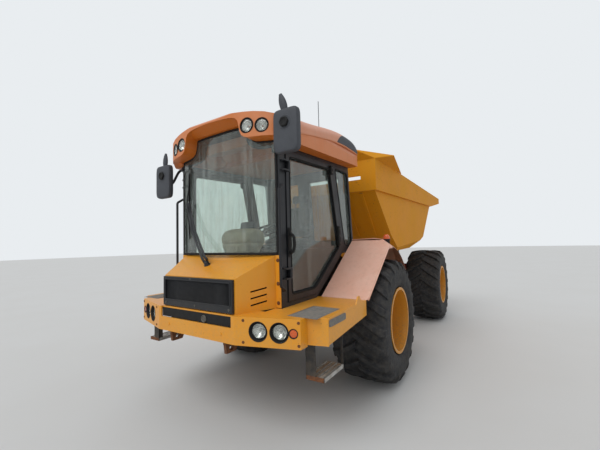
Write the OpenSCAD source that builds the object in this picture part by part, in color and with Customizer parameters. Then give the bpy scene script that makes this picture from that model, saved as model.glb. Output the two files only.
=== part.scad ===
// Articulated dump truck with two axles: a front unit with the cab and a rear
// unit with the tipping body, hinged together at a vertical pin.
// The machine faces -Y, +X is its left side, and it stands on z = 0 with the
// origin under the middle of its length.

/* [Machine] */
// Distance between the two axles
wheelbase = 3100; // [2900:10:3300]
// Front axle to the face of the bumper
front_overhang = 1785; // [1700:5:1900]
// Rear axle to the tail of the body
rear_overhang = 850; // [750:5:950]
// Distance between the middles of a pair of wheels
track = 1900; // [1860:5:1960]
// Steering pin behind the front axle
pivot_back = 1500; // [1480:5:1560]
// Angle to which the machine steers each way
steer_max = 38; // [20:1:38]

/* [Wheels] */
// Outer diameter of a tyre over its lugs
tyre_od = 1333; // [1280:1:1360]
// Width of a tyre
tyre_w = 600; // [560:5:620]
// Height of a lug above the carcass
lug_h = 36; // [25:1:45]
// Lugs along each half of the tread
lug_count = 13; // [12:1:20]
// Width of a lug along the tread
lug_w = 92; // [70:1:110]
// Diameter of the rim at the tyre's bead
rim_d = 673; // [640:1:700]
// Height of the rim's flange over the bead seat
rim_flange_h = 16; // [10:1:24]
// Width of the rim over its flanges
rim_w = 560; // [520:5:580]
// Wall of the rim
rim_wall = 12; // [8:1:16]
// Wheel disc inwards of the middle of the rim
disc_inset = 60; // [20:5:100]
// Diameter of the spindle that a wheel turns on
spindle_d = 120; // [90:1:140]
// Radial running clearance of a turning pin
fit = 0.05; // [0.02:0.01:0.1]
// Wheel studs
stud_count = 10; // [8:1:12]
// Diameter of the circle of studs
stud_circle = 335; // [300:5:360]
// Diameter of a stud hole
stud_d = 22; // [18:1:26]

/* [Frames] */
// Outer width over the front frame's rails
front_rail_w = 760; // [700:10:800]
// Thickness of a rail
rail_t = 25; // [15:1:30]
// Height of the front rails' lower edge
front_rail_z = 770; // [760:5:790]
// Outer width over the rear frame's rails
rear_rail_w = 720; // [660:10:740]
// Height of the rear rails' lower edge
rear_rail_z = 790; // [770:5:810]
// Height of the rear rails' upper edge
rear_rail_top = 1150; // [1120:5:1170]
// Diameter of an axle tube
axle_tube_d = 150; // [130:5:160]
// Diameter of the differential housing
diff_d = 360; // [300:10:380]
// Diameter of the steering pin
pivot_d = 80; // [60:1:100]
// Outer diameter of the tube round the steering pin
pivot_tube_d = 180; // [150:5:200]
// Lower face of the yoke's bottom plate
yoke_z = 560; // [540:5:580]
// Upper face of the yoke's top plate
yoke_top = 1020; // [1000:5:1040]
// Thickness of a yoke plate
yoke_t = 40; // [30:1:45]

/* [Engine] */
// Length of the engine
engine_l = 880; // [800:10:900]
// Width of the engine
engine_w = 560; // [500:10:600]
// Height of the engine
engine_h = 480; // [440:10:490]

/* [Bumper] */
// Half width of the straight middle of the bumper
bumper_mid = 475; // [440:5:500]
// Half width to the outer end of a swept back part
bumper_out = 976; // [940:2:1000]
// Half width over the side skirts
skirt_x = 1130; // [1100:2:1140]
// Height of the bumper's lower edge
bumper_z = 788; // [760:2:800]
// Height of the platforms and of the bumper's top
platform_z = 1000; // [1000:1:1010]
// Thickness of the bumper's plate
bumper_t = 12; // [8:1:16]
// Diameter of a headlamp
lamp_d = 118; // [100:1:130]

/* [Nose] */
// Half width of the nose at its front
nose_front = 449; // [430:1:460]
// Half width of the nose at its rear
nose_rear = 589; // [570:1:600]
// Front of the nose ahead of the front axle
nose_y = 1742; // [1720:1:1760]
// Height of the nose at its front
nose_z = 1273; // [1240:1:1300]
// Height of the nose where it meets the windscreen
nose_top = 1443; // [1420:1:1450]
// Thickness of the nose's sheet
nose_t = 5; // [3:1:8]

/* [Cab] */
// Half width of the cab over its side walls
cab_x = 645; // [630:1:660]
// Thickness of the cab's walls and pillars
cab_t = 45; // [35:1:50]
// Front of the cab ahead of the front axle
cab_y = 1400; // [1390:1:1410]
// Thickness of a window pane
glass_t = 6; // [4:1:8]
// How far the windscreen bows forward
screen_bow = 55; // [30:1:65]
// Half width of the roof
roof_x = 775; // [740:5:800]
// Top of the roof
roof_top = 2752; // [2720:1:2780]
// Angle to which a door opens
door_open = 80; // [60:1:85]
// Gap round a door
door_gap = 6; // [5:1:8]

/* [Fenders] */
// Inner radius of a fender at its outer edge
fender_r = 800; // [780:2:810]
// Half width to the inner edge of a fender
fender_in = 662; // [655:1:680]
// Half width to the outer edge of a fender
fender_out = 1150; // [1120:2:1170]
// Thickness of a fender
fender_t = 8; // [5:1:10]

/* [Body] */
// Height of the body's top edge at the front
body_top = 2640; // [2600:5:2660]
// Height of the body's top edge at the tail
body_tail_top = 2440; // [2400:5:2480]
// Height of the lower edge of the top band
band_z = 2220; // [2200:5:2240]
// Half width of the top band at the front
band_front = 860; // [840:5:880]
// Half width of the top band at the tail
band_tail = 1110; // [1080:5:1130]
// Thickness of the body's walls
body_t = 12; // [8:1:20]
// Step from the band in to the wall below it
band_step = 35; // [20:1:45]
// Tipping pin behind the rear axle
tip_back = 100; // [60:5:140]
// Height of the tipping pin
tip_z = 1400; // [1380:5:1420]
// Diameter of the tipping pin
tip_d = 60; // [50:1:70]
// Angle to which the body tips
tip_max = 70; // [40:1:70]

/* [Cylinders] */
// Outer diameter of a tipping cylinder's barrel
tip_barrel_d = 120; // [100:1:130]
// Diameter of a tipping cylinder's rod
tip_rod_d = 65; // [50:1:75]
// Outer diameter of a steering cylinder's barrel
steer_barrel_d = 84; // [70:1:90]
// Diameter of a steering cylinder's rod
steer_rod_d = 40; // [30:1:50]

/* [Hidden] */
$fn = 64;

yellow = "#e29a1d";
faded = "#d98a63";
salmon = "#e3a38e";
black = "#2a2b2d";
rubber = "#1f2022";
steel = "#b9bcc0";
rusty = "#6b4a38";
clear = "#c8d8dc";
amber = "#d9581e";
beige = "#b9b09a";
grey = "#4a4d50";

length = front_overhang + wheelbase + rear_overhang;
front_y = -length / 2;
front_rail_top = platform_z - bumper_t - 0.3;
axle_f = front_y + front_overhang;
axle_r = axle_f + wheelbase;
axle_z = tyre_od / 2;
pivot_y = axle_f + pivot_back;
tip_y = axle_r + tip_back;
wheel_x = track / 2;

// A box between two corners
module block(p, q) {
  translate(p) cube(q - p);
}

// An outline in y and z, extruded from x = a to x = b
module side_slab(a, b, pts) {
  translate([a, 0, 0]) rotate([90, 0, 90]) linear_extrude(b - a) polygon(pts);
}

// An outline in x and z, extruded from y = a to y = b
module front_slab(a, b, pts) {
  translate([0, b, 0]) rotate([90, 0, 0]) linear_extrude(b - a) polygon(pts);
}

// A round bar from point p to point q
module bar(p, q, d) {
  v = q - p;
  translate(p) rotate([0, acos(v[2] / norm(v)), atan2(v[1], v[0])]) cylinder(h = norm(v), d = d);
}

// A line of points with the corners rounded to the radius r, in four steps each
function unit(v) = v / norm(v);
function rounded(pts, r) = [for (i = [0 : len(pts) - 1]) each
  i == 0 || i == len(pts) - 1 ? [pts[i]] :
    let (a = unit(pts[i - 1] - pts[i]), b = unit(pts[i + 1] - pts[i]))
      [for (k = [0 : 4]) let (t = k / 4) pts[i] + r * ((1 - t) * (1 - t) * a + t * t * b)]];

// A tube through points: a ring of sides at each point, square to the path there
tube_sides = 8;
module bent_bar(corners, d, r = 60) {
  p = rounded(corners, r);
  n = len(p);
  dir = [for (i = [0 : n - 1]) unit(p[min(i + 1, n - 1)] - p[max(i - 1, 0)])];
  side = unit(cross(dir[0], corners[2] - corners[0]));
  ring = [for (i = [0 : n - 1]) let (u = unit(cross(side, dir[i])), v = cross(dir[i], u))
    for (k = [0 : tube_sides - 1]) let (w = 360 / tube_sides * k) p[i] + d / 2 * (cos(w) * u + sin(w) * v)];
  m = tube_sides;
  polyhedron(ring, concat([[for (k = [0 : m - 1]) k]], [[for (k = [m - 1 : -1 : 0]) (n - 1) * m + k]],
    [for (i = [0 : n - 2]) for (k = [0 : m - 1]) [i * m + k, (i + 1) * m + k, (i + 1) * m + (k + 1) % m, i * m + (k + 1) % m]]));
}

// A flat plate with corners pts, thickened by the vector t
module plate(corners, t) {
  n = len(corners);
  up = cross(corners[1] - corners[0], corners[2] - corners[0]) * t > 0;
  pts = up ? corners : [for (i = [n - 1 : -1 : 0]) corners[i]];
  polyhedron(concat(pts, [for (p = pts) p + t]),
    concat([[for (i = [0 : n - 1]) i]], [[for (i = [n - 1 : -1 : 0]) n + i]],
      [for (i = [0 : n - 1]) [(i + 1) % n, i, n + i, n + (i + 1) % n]]));
}

// The same thing on both sides
module both() {
  children();
  mirror([1, 0, 0]) children();
}

// A point in y and z, given behind the front axle
function fa(y, z) = [axle_f + y, z];
// A point in y and z, given behind the rear axle
function ra(y, z) = [axle_r + y, z];

module front_frame() {
  x1 = front_rail_w / 2;
  inner = x1 - rail_t + 1;
  rear_y = yoke_y - 0.3;
  color(black) union() {
    both() block([x1 - rail_t, nose_end, front_rail_z], [x1, rear_y, front_rail_top]);
    for (y = [nose_end + 180, axle_f - 900])
      block([-inner, y, front_rail_z + 20], [inner, y + 20, front_rail_top - 60]);
    for (y = [engine_y + 10, engine_y + engine_l - 50])
      block([-inner, y, front_rail_z + 20], [inner, y + 20, engine_z - 0.3]);
    both() for (y = [axle_f - 1290, axle_f - 920])
      block([x1 - rail_t, y, front_rail_top - 1], [x1, y + 80, platform_z - 0.3]);
    both() block([x1 - 1, axle_f - 1100, front_rail_top - 55], [1000, axle_f - 1088, front_rail_top]);
  }
}

// The hinge casting at the frame's end: plate, two ears, the hinge pin and the cylinders' forks
module hinge_yoke() {
  x1 = front_rail_w / 2;
  color(black) {
    block([-x1 - 30, yoke_y, yoke_z], [x1 + 30, yoke_y + yoke_plate_t, yoke_top]);
    for (z = [yoke_z, yoke_top - yoke_t]) translate([0, 0, z]) linear_extrude(yoke_t) {
      polygon([[-x1, yoke_y + yoke_plate_t - 1], [x1, yoke_y + yoke_plate_t - 1], [x1 - 60, yoke_y + 160],
        [pivot_tube_d / 2, pivot_y], [-pivot_tube_d / 2, pivot_y], [-x1 + 60, yoke_y + 160]]);
      translate([0, pivot_y]) circle(d = pivot_tube_d);
    }
    both() for (z = [-75, 45]) fork_lug(steer_base, yoke_y + yoke_plate_t - 1, steer_z + z, 30);
  }
  color(steel) {
    translate([0, pivot_y, yoke_z - 12]) cylinder(h = yoke_top - yoke_z + 24, d = pivot_d);
    both() translate([steer_base[0], steer_base[1], steer_z - 75]) cylinder(h = 150, d = steer_pin_d);
  }
}

nose_end = axle_f - front_overhang + 60;
yoke_y = axle_f + 830;
yoke_plate_t = 40;

// A horizontal lug from a cross plate at y0 to a pin, with the pin's hole in it
module fork_lug(pin, y0, z0, t) {
  translate([0, 0, z0]) linear_extrude(t) difference() {
    union() {
      translate(pin) circle(d = 3 * steer_pin_d);
      translate([pin[0] - 1.5 * steer_pin_d, y0]) square([3 * steer_pin_d, pin[1] - y0]);
    }
    translate(pin) circle(d = steer_pin_d);
  }
}

steer_pin_d = 35;
steer_z = 790;
steer_base = [240, axle_f + 930];
steer_eye = [260, axle_f + 1700];

tow_hole_d = 42;
tow_t = 28;
tow_z = 860;
tow_hole = fa(-front_overhang + 92, 728);
module tow_lugs() color(rusty) both() {
  x = front_rail_w / 2 - rail_t - tow_t;
  difference() {
    side_slab(x, x + tow_t - 0.3, [[nose_end, front_rail_z + 80], [nose_end - 30, front_rail_z],
      [nose_end - 20, front_rail_z - 80], [nose_end + 80, front_rail_z - 80],
      [nose_end + 120, front_rail_z], [nose_end + 150, front_rail_z + 80]]);
    translate([x - 1, tow_hole[0], tow_hole[1]]) rotate([0, 90, 0]) cylinder(h = tow_t + 3, d = tow_hole_d);
  }
}

// An axle: tube, differential, pads under the rails, and the two spindles
module axle(y, rail_outer, rail_z) {
  inner = wheel_x - disc_inset;
  half = [[hub_d / 2 - 15, inner - 60], [hub_d / 2 - 15, inner - 210], [axle_tube_d / 2, inner - 210],
    [axle_tube_d / 2, 230], [axle_tube_d / 2 + 45, 190], [diff_d / 2, 70]];
  color(black) translate([0, y, axle_z]) rotate([0, 90, 0]) rotate_extrude() polygon(concat(
    [[0, inner - 60]], half, [for (i = [len(half) - 1 : -1 : 0]) [half[i][0], -half[i][1]]], [[0, 60 - inner]]));
  color(black) both() block([rail_outer - 140, y - 110, axle_z], [rail_outer, y + 110, rail_z]);
  color(steel) both() translate([inner - 61, y, axle_z]) rotate([0, 90, 0]) cylinder(h = 161, d = spindle_d);
}

hub_d = 260;
module front_axle() axle(axle_f, front_rail_w / 2, front_rail_z);
module rear_axle() axle(axle_r, rear_rail_w / 2, rear_rail_z);

// The engine stands on two cross members, behind the cab's sloped floor
engine_y = axle_f - 200;
engine_z = front_rail_z + 90;
module engine_block() {
  color(grey) translate([-engine_w / 2, engine_y, engine_z]) cube([engine_w, engine_l, engine_h]);
}

// A sheet hood over the engine behind the cab, with louvres on top, on two brackets
deck_z = 1378;
deck_x = 520;
module engine_deck() {
  y0 = axle_f + 150;
  y1 = axle_f + 720;
  color(yellow) difference() {
    front_slab(y0, y1, [[-deck_x, 1080], [deck_x, 1080], [deck_x, deck_z - 70], [deck_x - 70, deck_z],
      [-deck_x + 70, deck_z], [-deck_x, deck_z - 70]]);
    front_slab(y0 - 1, y1 - deck_t, [[-deck_x + deck_t, 1079], [deck_x - deck_t, 1079], [deck_x - deck_t, deck_z - 72],
      [deck_x - 72, deck_z - deck_t], [-deck_x + 72, deck_z - deck_t], [-deck_x + deck_t, deck_z - 72]]);
    for (i = [0 : 6]) block([-260, y0 + 110 + 60 * i, deck_z - deck_t - 1], [260, y0 + 132 + 60 * i, deck_z + 1]);
    both() for (i = [0 : 3]) block([deck_x - deck_t - 1, y0 + 90, 1140 + 40 * i], [deck_x + 1, y1 - 90, 1154 + 40 * i]);
  }
  color(black) both() for (y = [y0 + 60, y1 - 100])
    block([front_rail_w / 2 + 0.3, y, front_rail_top - 50], [deck_x - deck_t + 0.5, y + 40, 1081]);
}
deck_t = 4;

// The bumper's plan: outer edge from the middle to the end of the swept part
lamp_angle = atan2(148, bumper_out - bumper_mid);
lamp_y = axle_f - front_overhang + 148;
module bumper_plan(in) {
  y0 = axle_f - front_overhang;
  polygon([[-bumper_out + in, lamp_y + 200], [-bumper_out + in, lamp_y + in], [-bumper_mid, y0 + in],
    [bumper_mid, y0 + in], [bumper_out - in, lamp_y + in], [bumper_out - in, lamp_y + 200]]);
}

// Lamp places along the swept part: distance from its inner end, diameter of the opening
lamp_list = [[195, 150], [360, 150], [468, 72]];
lamp_z = 898;

// Puts children on the face of the swept part, facing out of it along -z
module on_lamp(s) {
  translate([bumper_mid, axle_f - front_overhang, lamp_z]) rotate([0, 0, lamp_angle])
    translate([s, 0, 0]) rotate([-90, 0, 0]) children();
}

module bumper() {
  y0 = axle_f - front_overhang;
  color(yellow) difference() {
    union() {
      translate([0, 0, bumper_z]) linear_extrude(platform_z - bumper_z) difference() {
        bumper_plan(0);
        bumper_plan(bumper_t);
        translate([-bumper_out, lamp_y + 90]) square([2 * bumper_out, 200]);
      }
      translate([0, 0, platform_z - bumper_t]) linear_extrude(bumper_t) difference() {
        bumper_plan(bumper_t - 1);
        translate([-bumper_out, lamp_y + 90]) square([2 * bumper_out, 200]);
      }
    }
    both() for (l = lamp_list) on_lamp(l[0]) translate([0, 0, -5]) cylinder(h = 40, d = l[1]);
    block([-nose_front + 8, y0 - 5, platform_z - 92], [nose_front - 8, y0 + bumper_t + 5, platform_z + 1]);
  }
  color(black) block([-nose_front + 9, y0 + bumper_t + 6, platform_z - 90],
    [nose_front - 9, y0 + bumper_t + 14, platform_z - bumper_t]);
}

module headlamps() {
  both() for (i = [0 : 2]) on_lamp(lamp_list[i][0])
    color(i < 2 ? clear : amber) {
      translate([0, 0, -3]) cylinder(h = 48, d = i < 2 ? lamp_d : 56);
      translate([0, 0, 2]) cylinder(h = 8, d = lamp_list[i][1] - 0.6);
    }
}

platform_back = 758.3;
module platform(s) {
  y0 = lamp_y + 90;
  y1 = axle_f - platform_back;
  scale([s, 1, 1]) color(yellow) {
    translate([0, 0, platform_z - bumper_t]) linear_extrude(bumper_t)
      polygon([[cab_x - 60, y0], [bumper_out, y0], [skirt_x, y0 + 40], [skirt_x, y1], [cab_x - 60, y1]]);
    side_slab(skirt_x - bumper_t, skirt_x, [[y0 + 40, bumper_z + 20], [y1, platform_z - 135],
      [y1, platform_z - bumper_t], [y0 + 40, platform_z - bumper_t]]);
    side_slab(skirt_x - bumper_t, skirt_x, [[y1 - 230, platform_z], [y1 - 110, platform_z],
      [y1 - 150, platform_z + 62], [y1 - 185, platform_z + 62]]);
  }
}
module platform_l() platform(1);
module platform_r() platform(-1);

step_z = 560;
module step(s) {
  x0 = skirt_x - 205;
  x1 = skirt_x - 50;
  y0 = axle_f - 1500;
  y1 = axle_f - 1175;
  rim = 15;
  slot = 31;
  bar = (x1 - x0 - 2 * rim - 3 * slot) / 2;
  top = platform_z - bumper_t;
  scale([s, 1, 1]) {
    color(black) block([x0, y0, step_z], [x1 - 70, y0 + 8, top]);
    color(black) block([x1 - 20, y1 - 8, step_z], [x1, y1, top]);
    color(steel) difference() {
      block([x0, y0, step_z - 30], [x1, y1, step_z]);
      for (i = [0 : 2]) translate([x0 + rim + (slot + bar) * i, y0 + rim, step_z - 31])
        cube([slot, y1 - y0 - 2 * rim, 32]);
    }
  }
}
module step_l() step(1);
module step_r() step(-1);

// The nose's outer form, less the amount t on each side, as a box cut by a slope
module nose_form(t) {
  y0 = axle_f - nose_y + t;
  y1 = axle_f - cab_y;
  intersection() {
    translate([0, 0, platform_z]) linear_extrude(600)
      polygon([[-nose_front + t, y0], [nose_front - t, y0], [nose_rear - t, y1], [-nose_rear + t, y1]]);
    side_slab(-700, 700, [[y0, platform_z], [y1, platform_z], [y1, nose_top - t], [y0, nose_z - t]]);
  }
}

module nose_cover() {
  y1 = axle_f - cab_y;
  color(yellow) {
    difference() {
      nose_form(0);
      translate([0, 0, -1]) nose_form(nose_t);
      both() for (i = [0 : 2]) translate([(nose_front + nose_rear) / 2, y1 - 150, 1062 + 54 * i])
        rotate([0, 0, -atan2(nose_rear - nose_front, nose_y - cab_y)]) rotate([8, 0, 0])
          cube([120, 150, 13], center = true);
    }
    both() block([nose_rear - 1, y1 - nose_t, platform_z + 5], [cab_x - 5, y1, nose_top]);
  }
}

module grille_panel() {
  y0 = axle_f - nose_y - 0.3;
  color(black) difference() {
    block([-nose_front + 10, y0 - 22, platform_z + 8], [nose_front - 10, y0, nose_z - 6]);
    block([-nose_front + 35, y0 - 23, platform_z + 62], [nose_front - 35, y0 - 12, nose_z - 28]);
  }
}

// The cab's side outline, the door's and the quarter window's, in y and z
cab_side = [fa(-cab_y, 1000), fa(-820, 1000), fa(-180, 1425), fa(140, 1425), fa(40, 2470), fa(-cab_y, 2400)];
door_side = [fa(-1310, 1040), fa(-838, 1040), fa(-222, 1455), fa(-430, 2405), fa(-1310, 2362)];
quarter_side = [fa(-125, 1500), fa(85, 1500), fa(5, 2385), fa(-330, 2385)];

// Height of the cab's top edge at y behind the front axle
function cab_top(y) = 2400 + (y + cab_y) * 70 / (cab_y + 40);

module cab_shell() {
  y0 = axle_f - cab_y;
  color(black) {
    difference() {
      union() {
        both() side_slab(cab_x - cab_t, cab_x, cab_side);
        side_slab(-cab_x + cab_t - 1, cab_x - cab_t + 1, [fa(100, 1425), fa(140, 1425), fa(40, cab_top(40)), fa(0, cab_top(0))]);
        block([-cab_x + cab_t - 1, y0, 1040.3], [cab_x - cab_t + 1, y0 + 40, nose_top + 2]);
        screen_header();
      }
      both() side_slab(cab_x - cab_t - 1, cab_x + 1, door_hole);
      both() side_slab(cab_x - cab_t - 1, cab_x + 1, quarter_side);
      for (s = [-1, 1]) translate([s * 300, axle_f, 0]) rear_window(0);
    }
    both() for (z = hinge_list) hinge_bracket(z);
  }
}

// The cab's floor: flat at the feet, a ramp over the gearbox, and flat behind the seat
module cab_floor() {
  w = cab_x - cab_t - 0.3;
  color(black) side_slab(-w, w, [fa(-cab_y, 1000), fa(-820, 1000), fa(-180, 1425),
    fa(99.7, 1425), fa(95.5, 1465), fa(-195, 1465), fa(-835, 1040), fa(-cab_y, 1040)]);
}

// A hinge's fixed half: an ear under and over the door's knuckle, and the pin
module hinge_bracket(z) {
  ear = 12;
  for (e = [z - ear - 1, z + hinge_h + 1]) {
    translate([hinge_x, hinge_y, e]) cylinder(h = ear, d = hinge_d);
    block([cab_x - 1, axle_f - cab_y + 20, e], [hinge_x + hinge_d / 2, axle_f - 1318, e + ear]);
    block([hinge_x - hinge_d / 2, axle_f - 1319, e], [hinge_x + hinge_d / 2, hinge_y, e + ear]);
  }
  translate([hinge_x, hinge_y, z - ear]) cylinder(h = hinge_h + 2 * ear, d = hinge_pin_d);
}

// The door's opening, its outline moved outwards by the gap
door_hole = [fa(-1310 - door_gap, 1040 - door_gap), fa(-836, 1040 - door_gap), fa(-215, 1450),
  fa(-425, 2405 + door_gap), fa(-1310 - door_gap, 2362 + door_gap)];

module rear_window(in) {
  translate([0, 0, 0]) rotate([90, 0, 90]) linear_extrude(420 - 2 * in, center = true)
    polygon([[70 + 3, 1560 + in], [170, 1560 + in], [110, 2340 - in], [-10, 2340 - in]]);
}

// Points of a shallow arc across the half width w, bowed forward by h, at y
function bow(w, h, y, n = 12) = let (r = (w * w + h * h) / (2 * h), a = asin(w / r))
  [for (i = [0 : n]) let (t = -a + 2 * a * i / n) [r * sin(t), y - h + r - r * cos(t)]];

module windscreen() {
  y0 = axle_f - cab_y - 0.3;
  color(clear) intersection() {
    translate([0, 0, nose_top + 8]) linear_extrude(screen_top) polygon(concat(bow(screen_x, screen_bow, y0 - glass_t),
      [for (p = bow(screen_x, screen_bow, y0)) [-p[0], p[1]]]));
    front_slab(y0 - 200, y0 + 100, arch(0.4, nose_top, screen_top - 0.3));
  }
}
screen_x = cab_x - 20;

// The header behind the windscreen's top edge: a band that follows the arch and the glass's bow
module screen_header() {
  y0 = axle_f - cab_y;
  intersection() {
    translate([0, 0, 2330]) linear_extrude(400)
      polygon(concat(bow(screen_x, screen_bow, y0), [[screen_x, y0 + 40], [-screen_x, y0 + 40]]));
    difference() {
      front_slab(y0 - 200, y0 + 100, arch(0.4, 2300, screen_top - 0.4));
      front_slab(y0 - 201, y0 + 101, arch(45, 2299, screen_top - 45));
    }
  }
}

module cab_glass() {
  color(clear) {
    both() side_slab(cab_x - cab_t / 2 - glass_t / 2, cab_x - cab_t / 2 + glass_t / 2, quarter_side);
    for (s = [-1, 1]) translate([s * 300, axle_f, 0]) intersection() {
      rear_window(0);
      side_slab(-300, 300, [[117, 1425], [117 + glass_t, 1425], [17 + glass_t, 2470], [17, 2470]]);
    }
  }
}

module door(s) {
  frame_w = 52;
  scale([s, 1, 1]) {
    color(black) difference() {
      side_slab(cab_x - cab_t + 5, cab_x + 8, door_side);
      side_slab(cab_x - cab_t + 4, cab_x + 9, door_pane);
    }
    color(black) for (z = hinge_list) difference() {
      union() {
        translate([hinge_x, hinge_y, z]) cylinder(h = hinge_h, d = hinge_d);
        block([cab_x + 7, hinge_y - hinge_d / 2, z], [hinge_x, hinge_y + hinge_d / 2, z + hinge_h]);
      }
      translate([hinge_x, hinge_y, z - 1]) cylinder(h = hinge_h + 2, d = hinge_pin_d + 2 * fit);
    }
    color(black) block([cab_x + 8, axle_f - 330, 1500], [cab_x + 30, axle_f - 300, 1720]);
  }
}
hinge_d = 28;
hinge_h = 70;
hinge_pin_d = 14;
hinge_list = [1250, 2180];
hinge_x = cab_x + 8 + hinge_d / 2 + 5;
hinge_y = axle_f - 1310 + hinge_d / 2;
door_pane = [fa(-1258, 1095), fa(-855, 1095), fa(-282, 1482), fa(-475, 2350), fa(-1258, 2312)];
module door_l() door(1);
module door_r() door(-1);

module door_glass(s) {
  scale([s, 1, 1]) color(clear) side_slab(cab_x - cab_t / 2 - glass_t / 2, cab_x - cab_t / 2 + glass_t / 2, door_pane);
}
module door_glass_l() door_glass(1);
module door_glass_r() door_glass(-1);

// Points of an ellipse's quarter about c, half sizes a and b, from the first axis
// (from = 0) or its opposite side, in steps of n
function quarter(c, a, b, from, n = 6) = [for (i = [0 : n]) let (t = from + 90 * i / n) [c[0] + a * cos(t), c[1] + b * sin(t)]];

// The roof: a crowned cross section, a long profile with a brow, and a rounded plan
module cab_roof() {
  crown = concat([[-roof_x, 2380], [roof_x, 2380]], quarter([roof_x - 130, 2560], 130, 100, 0),
    [for (i = [-5 : 5]) let (x = -i * 110) [x, roof_top - 92 * pow(abs(x) / (roof_x - 130), 2)]],
    quarter([-roof_x + 130, 2560], 130, 100, 90));
  color(faded) difference() {
    intersection() {
      side_slab(-roof_x - 1, roof_x + 1, [fa(-1620, 2470), fa(-1590, 2448), fa(-1440, 2425), fa(-1400, 2392),
        fa(50, 2462), fa(110, 2475), fa(132, 2540), fa(118, 2600), fa(20, 2655), fa(-150, 2700), fa(-400, 2738),
        fa(-650, roof_top), fa(-950, roof_top), fa(-1250, roof_top - 12), fa(-1430, 2727), fa(-1540, 2708),
        fa(-1588, 2690), fa(-1612, 2660), fa(-1622, 2580)]);
      front_slab(axle_f - 1800, axle_f + 200, crown);
      translate([0, 0, 2380]) linear_extrude(500) polygon(concat(both_ways(roof_front, axle_f),
        [[roof_x, axle_f - 60], [roof_x - 8, axle_f + 60], [roof_x - 55, axle_f + 118], [400, axle_f + 133],
        [-400, axle_f + 133], [-roof_x + 55, axle_f + 118], [-roof_x + 8, axle_f + 60], [-roof_x, axle_f - 60]]));
      translate([0, axle_f - 1600, 2700]) rotate([brow_slope, 0, 0])
        front_slab(-200, 2000, concat([[800, -1200], [-800, -1200]], both_ways(brow, 0)));
    }
    both() for (l = roof_lamp_list) roof_lamp(l, 0.3, 60);
    side_slab(-cab_x - 6, cab_x + 6, [fa(-cab_y - 66, 2300), fa(50, 2300), fa(50, cab_top(50) + 0.3),
      fa(-cab_y - 66, cab_top(-cab_y - 66) + 0.3)]);
    intersection() {
      front_slab(axle_f - 1700, axle_f - 980, arch(0, 2300, 2700));
      side_slab(-cab_x, cab_x, [fa(-1700, 2290), fa(-1700, 2672), fa(-1600, 2660), fa(-1490, screen_top),
        fa(-1340, screen_top), fa(-1000, 2470), fa(-1000, 2290)]);
    }
  }
}

// Points of a symmetric line from its half, from the right side to the left, moved by d
function both_ways(half, d) = let (n = len(half) - 1)
  [for (i = [-n : n]) [sign(i) * half[abs(i)][0], d + half[abs(i)][1]]];

// The roof's front edge in plan, as half width and place from the front axle
roof_front = [[0, -1604], [240, -1598], [435, -1574], [577, -1542], [660, -1510], [720, -1470], [760, -1420], [roof_x, -1370]];

// The lip's line seen from the front, falling to the sides, and how the roof rises behind it
brow = [[0, 0], [150, -5], [270, -14], [400, -30], [500, -46], [600, -70], [690, -104], [745, -150], [800, -230]];
brow_slope = 12;

// The brow's arched opening over the windscreen, seen from the front, smaller by t, its foot at z0
screen_top = 2610;
arch_half = [[620, 0], [620, 2430], [480, 2440], [420, 2450], [384, 2472], [364, 2512], [356, 2560], [346, 2604],
  [320, 2632], [270, 2647], [150, 2656], [0, 2660]];
function arch(t, z0, top) = let (n = len(arch_half) - 1)
  [for (i = [-n : n]) let (p = arch_half[n - abs(i)]) [(i < 0 ? -1 : 1) * (p[0] - (abs(i) == 0 ? 0 : t)),
    min(p[1] == 0 ? z0 : p[1] - t, top)]];

// Work lamps in the roof's front: face centre from the front axle, turn outwards, diameter
roof_lamp_t = 40;
roof_lamp_list = [[435, -1571, 2549, 4, 136], [577, -1541, 2532, 20, 126]];
module roof_lamps() {
  both() for (l = roof_lamp_list) color(clear) roof_lamp(l, 0, 0);
}

// A work lamp's body, grown by g, and open by out in front of its face
module roof_lamp(l, g, out) {
  translate([l[0], axle_f + l[1], l[2]]) rotate([-90, 0, l[3]])
    translate([0, 0, -out]) cylinder(h = roof_lamp_t + out + g, d = l[4] + 2 * g);
}

// Half of the fender's outer form, less the amount t: a crowned revolve about the
// axle, cut by a slope that lies under the path of the door's lower edge
fender_crest = 912;
fender_front = 1000;
module fender_form(t) {
  mid = fender_out - 120;
  intersection() {
    translate([0, axle_f, axle_z]) rotate([90, 0, 90]) rotate_extrude($fn = 96)
      polygon([[0, fender_in], [fender_crest - 8 - t, fender_in], [fender_crest - t, mid - 80],
        [fender_crest - 12 - t, mid], [fender_r + fender_t - t, fender_out + t], [0, fender_out + t]]);
    side_slab(0, fender_out + fender_t, [fa(-1000, platform_z), fa(-758 + t, platform_z), fa(60, 1551 - t * 1.2),
      fa(60, 1700), fa(1000, 1700), fa(1000, 0), fa(-1000, 0)]);
  }
}

module fender(s) {
  scale([s, 1, 1]) color(salmon) difference() {
    fender_form(0);
    translate([-0.5, 0, 0]) fender_form(fender_t);
    block([fender_in - 2, axle_f - 1000, 0], [fender_out + 1, axle_f + 600, platform_z + 0.3]);
    block([fender_in - 2, axle_f + 590, 0], [fender_out + 1, axle_f + 1000, 560]);
  }
}
module fender_l() fender(1);
module fender_r_side() fender(-1);

// A ball lamp on a collar at the crest of each fender
fender_lamp = [1050, 190, 1556];
module fender_lamps() {
  at = [fender_lamp[0], axle_f + fender_lamp[1], fender_lamp[2]];
  color(black) both() difference() {
    translate(at - [0, 0, 55]) cylinder(h = 55, d = 74);
    fender_form(-0.3);
  }
  both() translate(at) {
    color(amber) translate([0, 0, -1]) rotate_extrude($fn = 48)
      polygon([[0, 0], [40, 0], [40, 22], [37, 38], [30, 51], [20, 60], [9, 64], [0, 64]]);
  }
}

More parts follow.
